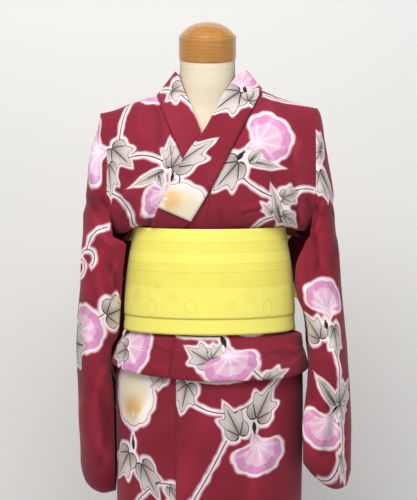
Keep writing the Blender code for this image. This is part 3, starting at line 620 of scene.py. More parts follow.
def lay_flat(points, anchor, start_v):
    """Places on the flat cloth: u from x = anchor's x at the anchor column, v up from start_v."""
    across = np.linalg.norm(np.diff(points, axis=1), axis=2)
    u = np.concatenate([np.zeros((len(points), 1)), np.cumsum(across, axis=1)], axis=1)
    u = u - u[:, anchor:anchor + 1] + points[:, anchor:anchor + 1, 0]
    middle = points[:, points.shape[1] // 2]
    along = np.linalg.norm(np.diff(middle[:, 1:], axis=0), axis=1)
    v = start_v + np.concatenate([[0.0], np.cumsum(along)])
    return np.stack([u, np.broadcast_to(v[:, None], u.shape)], axis=2)


def lay_strip(points):
    """Places on a long strip laid straight: u over its width, v along its length."""
    u = np.cumsum(np.linalg.norm(np.diff(points, axis=1), axis=2), axis=1)
    u = np.concatenate([np.zeros((len(points), 1)), u], axis=1)
    middle = points[:, points.shape[1] // 2]
    v = np.concatenate([[0.0], np.cumsum(np.linalg.norm(np.diff(middle, axis=0), axis=1))])
    return np.stack([u, np.broadcast_to(v[:, None], u.shape)], axis=2)


def crease_push(a, b, creases):
    """Soft troughs and ridges along short lines: a1, b1, a2, b2, width, depth in millimetres."""
    push = np.zeros_like(a)
    for a1, b1, a2, b2, width, depth in np.array(creases) / MILLIMETRES:
        run_a, run_b = a2 - a1, b2 - b1
        length = math.hypot(run_a, run_b)
        along = ((a - a1) * run_a + (b - b1) * run_b) / length
        across = ((a - a1) * run_b - (b - b1) * run_a) / length
        share = np.clip(along / length, 0.0, 1.0)
        bow = 0.12 * length * np.sin(math.pi * share) * (1.0 if depth > 0.0 else -1.0)
        ends = np.clip((along + width) / (3.0 * width), 0.0, 1.0)
        ends = ends * np.clip((length + width - along) / (3.0 * width), 0.0, 1.0)
        ends = ends * ends * (3.0 - 2.0 * ends)
        push = push + depth * ends * np.exp(-((across - bow) / width) ** 2)
    return push


def grid_piece(name, spots):
    """A grid of faces through rows of points, with the row and column of each of its vertices."""
    rows, columns = spots.shape[:2]
    bpy.ops.mesh.primitive_grid_add(x_subdivisions=columns - 1, y_subdivisions=rows - 1, size=2.0)
    obj = bpy.context.object
    obj.name = name
    mesh = obj.data
    mesh.name = name
    place = np.empty(len(mesh.vertices) * 3)
    mesh.vertices.foreach_get("co", place)
    place = place.reshape(-1, 3)
    column = np.rint((place[:, 0] + 1.0) * 0.5 * (columns - 1)).astype(int)
    row = np.rint((place[:, 1] + 1.0) * 0.5 * (rows - 1)).astype(int)
    mesh.vertices.foreach_set("co", spots[row, column].ravel())
    return obj, mesh, row, column


def welded(mesh, distance, fill=False):
    """Joins vertices closer than this, and may close the open ends."""
    bm = bmesh.new()
    bm.from_mesh(mesh)
    bmesh.ops.remove_doubles(bm, verts=bm.verts[:], dist=distance)
    if fill:
        bmesh.ops.holes_fill(bm, edges=[edge for edge in bm.edges if edge.is_boundary], sides=0)
    bm.to_mesh(mesh)
    bm.free()


def enter(obj, node):
    """Hangs a shown piece from the root and hides the solid that it stands for."""
    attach(obj, "root")
    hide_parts(node)
    obj.select_set(False)


def cloth(name, points, flat, finish, push, thickness=CLOTH, weld=0.0):
    """A thin sheet on the solid's form, with its flat places as a UV map and its creases' depth.

    finish is one material, or a list of boxes on the flat cloth with the material of each."""
    node = name.replace(" ", "_")
    spots = points + facing(points) * (CLOTH_RISE + push[..., None])
    obj, mesh, row, column = grid_piece("sewn_" + node, spots)
    corner = np.empty(len(mesh.loops), dtype=np.int32)
    mesh.loops.foreach_get("vertex_index", corner)
    chart = flat[row, column][corner]
    mesh.uv_layers[0].data.foreach_set("uv", chart.ravel())
    fold = mesh.attributes.new("crease", "FLOAT", "POINT")
    fold.data.foreach_set("value", push[row, column].ravel())
    if weld:
        welded(mesh, weld)
    mesh.update()
    mesh.shade_smooth()
    swatches = finish if isinstance(finish, list) else [(-9.0, -9.0, 9.0, 9.0, finish)]
    for swatch in swatches:
        mesh.materials.append(swatch[4])
    chart = mesh.uv_layers[0].data
    for face in mesh.polygons:
        u = sum(chart[k].uv[0] for k in face.loop_indices) / face.loop_total
        v = sum(chart[k].uv[1] for k in face.loop_indices) / face.loop_total
        for index, (u0, v0, u1, v1, _) in enumerate(swatches):
            if u0 <= u <= u1 and v0 <= v <= v1:
                face.material_index = index
                break
    wall = obj.modifiers.new("cloth", "SOLIDIFY")
    wall.thickness = thickness
    wall.offset = 0.0
    enter(obj, node)


def flat_place(name, x, z, back=False):
    """Where the front or back of a piece shows x and height z, on its flat cloth.

    A collar's legs cross, so the under leg is named apart."""
    spots, flat = FLAT[name.replace(", under leg", "")]
    if "collar" in name:
        half = len(spots) // 2
        part = slice(half, None) if "under leg" in name else slice(0, half)
        spots, flat = spots[part], flat[part]
    hidden = spots[..., 1] < -0.03 if back else spots[..., 1] > 0.03
    depth = -spots[..., 1] if back else spots[..., 1]
    far = (spots[..., 0] - x) ** 2 + (spots[..., 2] - z) ** 2 + 10.0 * hidden + 0.004 * depth
    row, column = np.unravel_index(np.argmin(far), far.shape)
    row = min(max(row, 1), far.shape[0] - 2)
    column = min(max(column, 1), far.shape[1] - 2)
    across = (spots[row, column + 1] - spots[row, column - 1])[[0, 2]]
    along = (spots[row + 1, column] - spots[row - 1, column])[[0, 2]]
    miss = np.array([x, z]) - spots[row, column][[0, 2]]
    steps = np.linalg.lstsq(np.stack([across, along], axis=1), miss, rcond=0.05)[0].clip(-4.0, 4.0)
    spot = flat[row, column] + steps[0] * (flat[row, column + 1] - flat[row, column - 1])
    spot = spot + steps[1] * (flat[row + 1, column] - flat[row - 1, column])
    return float(spot[0]), float(spot[1])


# ---- the robe's pieces -------------------------------------------------------------------------
def tuck_profile(angle, top_off):
    """Offsets and heights down the turned-up ply, round the fold and up the outer ply."""
    low = fold_z(angle)
    radius = 0.5 * (TUCK_OUTER - TUCK_INNER)
    centre = 0.5 * (TUCK_OUTER + TUCK_INNER)
    rows = [(TUCK_INNER, z) for z in spaced(low + TUCK_TURN_UP, low + radius + 0.004, 0.005)]
    for k in range(9):
        turn = math.pi * k / 8.0
        rows.append((centre - radius * math.cos(turn), low + radius - radius * math.sin(turn)))
    rows += [(TUCK_OUTER, z) for z in spaced(low + radius + 0.004, 0.84, 0.0045)]
    shoulder = tuck_shoulder(angle, top_off)
    for z in spaced(0.843, 0.87, 0.0027):
        out = lerp(TUCK_OUTER, shoulder, (z - 0.84) / 0.022)
        rows.append((out if z <= 0.862 else lerp(shoulder, top_off, smooth((z - 0.862) / 0.008)), z))
    return rows


ARCH_STEP = 2.5
ARCH_LEVELS = [arch(angle) for angle in spaced(ARCH_STEP, 90.0, ARCH_STEP)]
LOW_LEVELS = spaced(0.876, 1.13, 0.0045)


def tuck_grid(shares, top_offs, back):
    columns = []
    for share, top_off in zip(shares, top_offs):
        angle = 180.0 - 90.0 * share if back else 90.0 * share
        profile = tuck_profile(angle, top_off)
        columns.append(profile)
    rows = min(len(profile) for profile in columns)
    grid = []
    for row in range(rows):
        line = []
        for share, profile in zip(shares, columns):
            angle = 180.0 - 90.0 * share if back else 90.0 * share
            spot = row * (len(profile) - 1) / (rows - 1)
            index = min(int(spot), len(profile) - 2)
            part = spot - index
            off = lerp(profile[index][0], profile[index + 1][0], part)
            z = lerp(profile[index][1], profile[index + 1][1], part)
            line.append(tuple(tube_point(angle, z, off)))
        grid.append(line)
    return grid


def body_grid(side):
    """One body length from the front's lower end, over the shoulder, to the back's tuck."""
    count = 48
    gap = 0.0008
    outer = side
    front_off = body_offset(side, 0.0, False)

    def shares(inner):
        across = [k / count for k in range(count + 1)]
        if side < 0:
            across = across[::-1]
        return [lerp(inner, outer, part) for part in across]

    grid = []
    if side > 0:
        row = shares(okumi_share(side, 0.84, front_off) + gap)
        grid += tuck_grid(row, [front_off] * len(row), False)
    for level in LOW_LEVELS + ARCH_LEVELS:
        inner = front_inner_share(side, level, front_off) + side * gap
        grid.append([tuple(body_point(share, level, front_off, False)) for share in shares(inner)])
    for level in ARCH_LEVELS[-2::-1] + LOW_LEVELS[::-1]:
        inner = back_inner_share(side, level) + side * gap
        grid.append([tuple(body_point(share, level, body_offset(side, share, True), True))
                     for share in shares(inner)])
    row = shares(side * gap)
    grid += tuck_grid(row, [body_offset(side, share, True) for share in row], True)[::-1]
    return np.array(grid)


def okumi_grid(side):
    count = 34
    off = OVER_BODY if side > 0 else UNDER_BODY
    edge = OVER_COLLAR_SEAM if side > 0 else UNDER_COLLAR_SEAM
    limit = LEFT_OKUMI_TURN / 90.0
    gap = 0.0008
    levels = LOW_LEVELS + [arch(angle) for angle in spaced(1.0, 9.0 if side > 0 else 6.0, 1.0)]

    def shares(level):
        seam = okumi_share(side, level, off) - side * gap
        if side > 0:
            free = max(limit, min(share_at_edge(edge, level, off), seam - TIP_SHARE))
            return [lerp(free, seam, k / count) for k in range(count + 1)]
        free = max(share_at_edge(edge, level, off), seam + TIP_SHARE)
        return [lerp(seam, free, k / count) for k in range(count + 1)]

    grid = []
    if side > 0:
        seam = okumi_share(side, 0.84, off) - gap
        row = [lerp(limit, seam, k / count) for k in range(count + 1)]
        grid += tuck_grid(row, [off] * len(row), False)
    for level in levels:
        grid.append([tuple(body_point(share, level, off, False)) for share in shares(level)])
    return np.array(grid)


def skirt_grid(start, end, offset):
    """A skirt width from start(z) to end(z) degrees round the figure."""
    span = abs(end(0.56) - start(0.56))
    count = max(8, round(math.radians(span) * 0.15 / GRID))
    gap = 0.06
    grid = []
    for z in spaced(HEM_Z, SKIRT_TOP_Z, 0.0065):
        angles = [lerp(start(z) + gap, end(z) - gap, k / count) for k in range(count + 1)]
        grid.append([tuple(tube_point(angle, z, offset(angle))) for angle in angles])
    return np.array(grid)


ARMHOLE_IN, ARMHOLE_Z = 0.003, 1.056
RIGHT_BACK_NEAR_Z = (0.7, 0.895)
RIGHT_BACK_INNER = 0.1765
SLEEVE_BLEND_Z = 1.095       # over this height the hanging sleeve turns into its seam


def sleeve_grid(side):
    """Front half, outer fold and back half, from the closed bottom up to the shoulder."""
    table = SLEEVE_LEFT if side > 0 else SLEEVE_RIGHT
    hem = SLEEVE_LEFT_HEM if side > 0 else SLEEVE_RIGHT_HEM
    off = body_offset(side, 0.0, False)
    half = 34
    swings = [1.0 - k / half for k in range(half + 1)] + [-k / half for k in range(half + 1)]
    sheets = [1.0] * (half + 1) + [-1.0] * (half + 1)
    if side < 0:
        swings = swings[::-1]
        sheets = sheets[::-1]

    def hang_point(z, swing, depth_share):
        inner, outer, depth, centre, turn, skew = [read(table, z, column) for column in range(1, 7)]
        # up at the armhole the sleeve comes in a little; behind the obi the right one hangs closer
        inner -= ARMHOLE_IN * smooth((z - ARMHOLE_Z) / 0.012)
        if side < 0 and swing < 0.0:
            low_z, high_z = RIGHT_BACK_NEAR_Z
            near = smooth((z - low_z) / 0.04) * smooth((high_z - z) / 0.025)
            inner = lerp(inner, min(inner - 0.004, RIGHT_BACK_INNER), near)
        limit = math.cos(math.radians(turn))
        bulge = (outer - inner) / (1.0 - limit)
        angle = math.radians(turn * swing)
        x = outer - bulge + bulge * math.cos(angle)
        spread = 2.0 * (math.cos(angle) - limit) / (1.0 - limit) - 1.0
        y = -depth * depth_share * math.sin(angle)
        return Vector((side * (x + skew * y), centre + y, z)), spread

    low = SLEEVE_ROWS[0]
    plan = [("close", math.sin(0.5 * math.pi * k / 12.0)) for k in range(12, 0, -1)]
    plan += [("hang", z) for z in spaced(low, SLEEVE_BLEND_Z, 0.0055)]
    plan += [("blend", z) for z in spaced(1.1, 1.125, 0.005)]
    plan += [("seam", level) for level in [ARCH_Z] + [arch(angle) for angle in spaced(2.0, 90.0, 2.0)]]

    def seam_point(level, swing):
        front = body_point(side, level, off, False)
        back = body_point(side, level, off, True)
        angle = math.radians(90.0 * swing)
        drop = crest_z(front.x, off) - front.z
        bulge = read(SHOULDER_DROP, drop, 2 if side > 0 else 1)
        point = 0.5 * (front + back) + 0.5 * (front - back) * math.sin(angle)
        point.x += side * (SEWN_GAP + bulge * math.cos(angle))
        point.z -= SHOULDER_SLOPE * bulge * math.cos(angle)
        return point

    grid = []
    for kind, value in plan:
        row = []
        for swing, ply in zip(swings, sheets):
            if kind == "hang":
                point = hang_point(value, swing, 1.0)[0]
            elif kind == "close":
                point, spread = hang_point(low, swing, math.sqrt(max(0.0, 1.0 - value * value)))
                point.z = lerp(low, read(hem, spread), value)
            elif kind == "blend":
                share = (value - SLEEVE_BLEND_Z) / (ARCH_Z - SLEEVE_BLEND_Z)
                sewn = seam_point(ARCH_Z, swing)
                point = hang_point(SLEEVE_BLEND_Z, swing, 1.0)[0].lerp(sewn, smooth(share))
                point.z = lerp(SLEEVE_BLEND_Z, sewn.z, share)
            else:
                point = seam_point(value, swing)
            if CUFF_LOW_Z < point.z < CUFF_TOP_Z and kind == "hang":
                rise = (point.z - CUFF_LOW_Z) / (CUFF_TOP_Z - CUFF_LOW_Z)
                near = max(0.0, 1.0 - abs(swing) / 0.3) ** 2
                point.y -= ply * CUFF_PART * 0.9 * math.sin(math.pi * rise) ** 0.7 * near
            row.append(tuple(point))
        grid.append(row)
    return np.array(grid)


def collar_grid(rows, rise):
    """The band resampled smoothly along its length."""
    across = [k / 12.0 for k in range(13)]
    points = np.array([[tuple(collar_point(row, part)) for part in across] for row in rows])
    middle = points[:, 6]
    length = np.concatenate([[0.0], np.cumsum(np.linalg.norm(np.diff(middle, axis=0), axis=1))])
    places = np.linspace(0.0, length[-1], round(length[-1] / GRID))
    smooth_points = curve_through(length, points, places)
    return smooth_points + facing(smooth_points) * rise


# ---- finishes ----------------------------------------------------------------------------------
def tone(code):
    """Linear colour of an sRGB hex value."""
    parts = [int(code[k:k + 2], 16) / 255.0 for k in (1, 3, 5)]
    return [p / 12.92 if p <= 0.04045 else ((p + 0.055) / 1.055) ** 2.4 for p in parts] + [1.0]


def add(tree, kind, settings=None, **links):
    """Adds a node with its settings, and its inputs linked or set by name."""
    node = tree.nodes.new("ShaderNode" + kind)
    for key, value in (settings or {}).items():
        setattr(node, key, value)
    for key, value in links.items():
        name = key.replace("_", " ").strip()
        socket = node.inputs[int(name[1:])] if name[0] == "i" and name[1:].isdigit() else node.inputs[name]
        if isinstance(value, bpy.types.NodeSocket):
            tree.links.new(value, socket)
        else:
            socket.default_value = value
    return node


def start_finish(name, roughness, **sockets):
    finish = bpy.data.materials.new(name)
    finish.use_nodes = True
    shader = finish.node_tree.nodes["Principled BSDF"]
    shader.inputs["Roughness"].default_value = roughness
    for key, value in sockets.items():
        shader.inputs[key.replace("_", " ")].default_value = value
    return finish, finish.node_tree, shader


# ---- the print ---------------------------------------------------------------------------------
def new_group(name, inputs, outputs):
    group = bpy.data.node_groups.new(name, "ShaderNodeTree")
    for label, kind in inputs:
        group.interface.new_socket(name=label, in_out="INPUT", socket_type="NodeSocket" + kind)
    for label, kind in outputs:
        group.interface.new_socket(name=label, in_out="OUTPUT", socket_type="NodeSocket" + kind)
    return group, group.nodes.new("NodeGroupInput").outputs, group.nodes.new("NodeGroupOutput").inputs


def math_node(tree, operation, first, second=0.0, third=0.0):
    node = add(tree, "Math", {"operation": operation}, i0=first, i1=second)
    if operation in ("MULTIPLY_ADD", "SMOOTH_MIN"):
        if isinstance(third, bpy.types.NodeSocket):
            tree.links.new(third, node.inputs[2])
        else:
            node.inputs[2].default_value = third
    return node.outputs[0]


def times(tree, first, second):
    return math_node(tree, "MULTIPLY", first, second)


def plus(tree, first, second):
    return math_node(tree, "ADD", first, second)


def minus(tree, first, second):
    return math_node(tree, "SUBTRACT", first, second)


def times_plus(tree, first, second, third):
    return math_node(tree, "MULTIPLY_ADD", first, second, third)


def absolute(tree, value):
    return math_node(tree, "ABSOLUTE", value)


def larger(tree, first, second):
    return math_node(tree, "MAXIMUM", first, second)


def ramp(tree, value, low, high, from_value, to_value):
    """A soft step of value from low to high."""
    node = add(tree, "MapRange", {"interpolation_type": "SMOOTHSTEP"}, Value=value)
    ends = ("From Min", low), ("From Max", high), ("To Min", from_value), ("To Max", to_value)
    for socket, number in ends:
        node.inputs[socket].default_value = number
    return node.outputs[0]


def blend(tree, share, low, high):
    """Colour low where share is 0 and high where it is 1."""
    return add(tree, "Mix", {"data_type": "RGBA"}, i0=share, i6=low, i7=high).outputs[2]


def length_of(tree, vector):
    return add(tree, "VectorMath", {"operation": "LENGTH"}, i0=vector).outputs["Value"]


def moved(tree, vector, x):
    return add(tree, "VectorMath", {"operation": "SUBTRACT"}, i0=vector, i1=(x, 0.0, 0.0)).outputs[0]


def noise_of(tree, vector, scale, detail=2.0, dimensions="3D"):
    """Soft random clouds from 0 to 1."""
    return add(tree, "TexNoise", {"noise_dimensions": dimensions}, Vector=vector, Scale=scale,
               Detail=detail).outputs["Fac"]


def set_curve(tree, value, spots):
    """A smooth curve through the given (place, reach) spots."""
    node = add(tree, "FloatCurve", Value=value)
    curve = node.mapping.curves[0]
    curve.points[0].location = spots[0]
    curve.points[1].location = spots[-1]
    for place, reach in spots[1:-1]:
        curve.points.new(place, reach)
    node.mapping.update()
    return node.outputs["Value"]


# reach from the middle of each motif at each share of the half turn from its tip to its stalk
LEAF_OUTLINE = ((0.0, 0.6), (0.05, 0.5), (0.13, 0.36), (0.2, 0.33), (0.3, 0.47), (0.36, 0.42),
                (0.46, 0.33), (0.58, 0.4), (0.68, 0.43), (0.8, 0.42), (0.9, 0.38), (1.0, 0.27))
BLADE_OUTLINE = ((0.0, 0.52), (0.08, 0.4), (0.25, 0.33), (0.5, 0.34), (0.75, 0.42), (0.92, 0.46), (1.0, 0.44))
CALYX_OUTLINE = ((0.0, 0.55), (0.06, 0.34), (0.11, 0.48), (0.17, 0.28), (0.5, 0.3), (0.8, 0.38), (1.0, 0.48))
BLOSSOM_OUTLINE = ((0.0, 0.52), (0.2, 0.51), (0.38, 0.49), (0.52, 0.46), (0.64, 0.4), (0.74, 0.26),
                   (0.86, 0.25), (1.0, 0.42))
OPEN_OUTLINE = ((0.0, 0.5), (0.25, 0.51), (0.5, 0.49), (0.75, 0.44), (1.0, 0.4))
BLOSSOM_MIDDLE = 0.52        # a blossom's middle, in its own lengths from its tube
SCALLOPS = 4.6               # waves round a half turn of a blossom's rim
SCALLOP_DEPTH = 0.03
VEIN_BOW = 0.16              # how a leaf's side veins bend


def motif_edge(group, given, middle, outline, scallops=0.0):
    """The signed distance from a motif's outline, in its own lengths, and its bearing from the tip."""
    from_middle = moved(group, given["Place"], middle)
    axes = add(group, "SeparateXYZ", Vector=from_middle).outputs
    aside = absolute(group, axes["Y"])
    angle = math_node(group, "ARCTAN2", aside, axes["X"])
    reach = set_curve(group, math_node(group, "DIVIDE", angle, math.pi), outline)
    if scallops:
        wave = math_node(group, "SINE", times(group, angle, scallops))
        wave = absolute(group, wave)
        reach = times_plus(group, wave, SCALLOP_DEPTH, minus(group, reach, SCALLOP_DEPTH))
    return minus(group, length_of(group, from_middle), reach)


def finish_motif(group, given, result, edge, colour):
    distance = times(group, edge, given["Size"])
    group.links.new(distance, result["Distance"])
    group.links.new(ramp(group, distance, -0.0005, 0.0004, 1.0, 0.0), result["Mask"])
    group.links.new(colour, result["Color"])


MOTIF_RESULTS = (("Distance", "Float"), ("Mask", "Float"), ("Color", "Color"))


def make_leaf(name, outline, middle, stalk, veins, line_width):
    """A leaf one long from its stalk at the origin to its tip along +X, with veins from the stalk."""
    inks = (("Light", "Color"), ("Dark", "Color"), ("Line", "Color"))
    group, given, result = new_group(name, (("Place", "Vector"), ("Size", "Float")) + inks, MOTIF_RESULTS)
    edge = motif_edge(group, given, middle, outline)
    from_stalk = moved(group, given["Place"], stalk)
    axes = add(group, "SeparateXYZ", Vector=from_stalk).outputs
    aside = absolute(group, axes["Y"])
    line = ramp(group, edge, -0.036, -0.012, 0.0, 0.92)
    shade = ramp(group, length_of(group, from_stalk), 0.02, 0.5, 0.85, 0.0)
    for degrees, reach in veins:
        turn = math.radians(degrees)
        along = times_plus(group, axes["X"], math.cos(turn), times(group, aside, math.sin(turn)))
        bow = times(group, along, along)
        bow = times(group, bow, VEIN_BOW if degrees else 0.0)
        across = times_plus(group, aside, math.cos(turn),
                            times_plus(group, axes["X"], -math.sin(turn), bow))
        near = ramp(group, absolute(group, across), line_width, 2.0 * line_width, 1.0, 0.0)
        ends = times(group, ramp(group, along, 0.0, 0.03, 0.0, 1.0),
                     ramp(group, along, 0.75 * reach, reach, 1.0, 0.0))
        line = larger(group, line, times(group, near, ends))
        soft = ramp(group, across, 0.0, 0.17, 0.95, 0.0)
        side = times(group, soft, ramp(group, across, -0.012, 0.0, 0.0, 1.0))
        side = times(group, side, ramp(group, along, 0.05, 0.95 * reach, 1.0, 0.1))
        shade = larger(group, shade, side)
    body = blend(group, shade, given["Light"], given["Dark"])
    finish_motif(group, given, result, edge, blend(group, line, body, given["Line"]))
    return group


def make_blossom(name, outline, eye, rib_step, opened):
    """A trumpet blossom seen aslant, or opened to the front, one long from its tube to its rim."""
    inks = (("Tube", "Color"), ("Petal", "Color"), ("Rim", "Color"), ("Eye", "Color"))
    group, given, result = new_group(name, (("Place", "Vector"), ("Size", "Float")) + inks, MOTIF_RESULTS)
    edge = motif_edge(group, given, BLOSSOM_MIDDLE, outline, SCALLOPS)
    from_eye = moved(group, given["Place"], eye)
    axes = add(group, "SeparateXYZ", Vector=from_eye).outputs
    bearing = math_node(group, "ARCTAN2", axes["Y"], axes["X"])
    out = length_of(group, from_eye)
    turns = math_node(group, "FRACT", times_plus(group, bearing, 1.0 / rib_step, 20.5))
    from_rib = absolute(group, minus(group, turns, 0.5))
    gap = times(group, from_rib, times(group, out, rib_step))
    # two fine lines side by side, close at the eye and spreading towards the rim
    pair = absolute(group, times_plus(group, out, -0.045, gap))
    rib = times(group, ramp(group, pair, 0.003, 0.009, 0.66, 0.0),
                ramp(group, edge, -0.1, -0.04, 1.0, 0.0))
    eye_from, eye_to = (0.1, 0.4) if opened else (0.04, 0.22)
    petal = blend(group, ramp(group, out, eye_from, eye_to, 0.0, 1.0), given["Eye"], given["Petal"])
    petal = blend(group, ramp(group, from_rib, 0.15, 0.5, 0.0, 0.25), petal, given["Rim"])
    where = noise_of(group, given["Place"], 1.7, 0.0)
    patch = times(group, ramp(group, edge, -0.19, -0.15, 0.0, 1.0),
                  ramp(group, where, 0.46, 0.52, 0.0, 0.9))
    petal = blend(group, patch, petal, given["Rim"])
    if opened:
        colour = blend(group, ramp(group, edge, -0.2, -0.02, 0.0, 0.8), petal, tone("#fdf1ea"))
        colour = blend(group, times(group, rib, 0.45), colour, tone("#fffaf0"))
        star = ramp(group, plus(group, out, gap), 0.03, 0.05, 1.0, 0.0)
        colour = blend(group, star, colour, tone("#fff8ee"))
        colour = blend(group, ramp(group, edge, -0.022, -0.008, 0.0, 0.75), colour, tone("#5d484a"))
    else:
        lip = times_plus(group, absolute(group, axes["Y"]), -0.3, axes["X"])
        front = ramp(group, lip, -0.17, -0.15, 0.0, 1.0)
        tube = blend(group, ramp(group, lip, -0.36, -0.18, 0.0, 0.7), given["Tube"], given["Petal"])
        colour = blend(group, front, tube, petal)
        rib = larger(group, rib, ramp(group, out, 0.02, 0.045, 0.7, 0.0))
        colour = blend(group, times(group, rib, front), colour, tone("#fdf3fa"))
    finish_motif(group, given, result, edge, colour)
    return group


def make_stem():
    """How far a place is from an arc about the origin whose middle lies along +X."""
    inputs = (("Place", "Vector"), ("Radius", "Float"), ("Half turn", "Float"))
    group, given, result = new_group("printed stem", inputs, (("Distance", "Float"),))
    axes = add(group, "SeparateXYZ", Vector=given["Place"]).outputs
    aside = minus(group, length_of(group, given["Place"]), given["Radius"])
    aside = absolute(group, aside)
    turn = absolute(group, math_node(group, "ARCTAN2", axes["Y"], axes["X"]))
    past = minus(group, turn, given["Half turn"])
    past = times(group, past, given["Radius"])
    group.links.new(larger(group, aside, past), result["Distance"])
    return group


LEAF = make_leaf("printed leaf", LEAF_OUTLINE, 0.42, 0.13, ((0.0, 0.8), (48.0, 0.46), (112.0, 0.3)), 0.01)
BLADE = make_leaf("printed blade", BLADE_OUTLINE, 0.48, 0.03, ((0.0, 0.92), (16.0, 0.6)), 0.013)
CALYX = make_leaf("printed calyx", CALYX_OUTLINE, 0.45, 0.0, ((0.0, 0.9),), 0.02)
BLOSSOM = make_blossom("printed blossom", BLOSSOM_OUTLINE, 0.37, 0.62, False)
OPEN_BLOSSOM = make_blossom("printed open blossom", OPEN_OUTLINE, 0.28, 0.42, True)
STEM = make_stem()
GREYS = {"Light": "#dbcfca", "Dark": "#897b78", "Line": "#2f2326"}
INKS = {
    "leaf": (LEAF, GREYS),
    "blade": (BLADE, GREYS),
    "calyx": (CALYX, {"Light": "#3a282c", "Dark": "#241619", "Line": "#170d10"}),
    "pink": (BLOSSOM, {"Tube": "#dfa8cb", "Petal": "#f0c8de", "Rim": "#de90c2", "Eye": "#f7dfee"}),
    "yellow": (OPEN_BLOSSOM, {"Tube": "#f3c95a", "Petal": "#f6e7c8", "Rim": "#f6ebdf", "Eye": "#f0bc44"}),
}


def arc_through(start, middle, end):
    """Centre, radius, mid-direction and half turn of the arc through three points."""
    ax, ay = start
    bx, by = middle
    cx, cy = end
    d = 2.0 * (ax * (by - cy) + bx * (cy - ay) + cx * (ay - by))
    if abs(d) < 1e-6:
        d = 1e-6
    a2, b2, c2 = ax * ax + ay * ay, bx * bx + by * by, cx * cx + cy * cy
    x = (a2 * (by - cy) + b2 * (cy - ay) + c2 * (ay - by)) / d
    y = (a2 * (cx - bx) + b2 * (ax - cx) + c2 * (bx - ax)) / d
    mid = math.atan2(by - y, bx - x)
    ends = [abs((math.atan2(py - y, px - x) - mid + math.pi) % math.tau - math.pi) for px, py in (start, end)]
    return (x, y), math.hypot(ax - x, ay - y), mid, max(ends)


CRIMSON, CRIMSON_DARK = "#922339", "#871b30"
BLANK_WANDER = 0.0022        # how far the edge of the blank round the motifs wanders
BLANK_JOIN = 0.006           # over this width the blanks of neighbouring motifs run together
THREADS_APART = 0.0013
# painted shade in crease troughs and a painted highlight along crease ridges, read from each point's crease
# depth
CREASE_SHADE = (-0.003, 0.0026, 0.58, 1.2)  # a trough's and a ridge's height, and their brightness


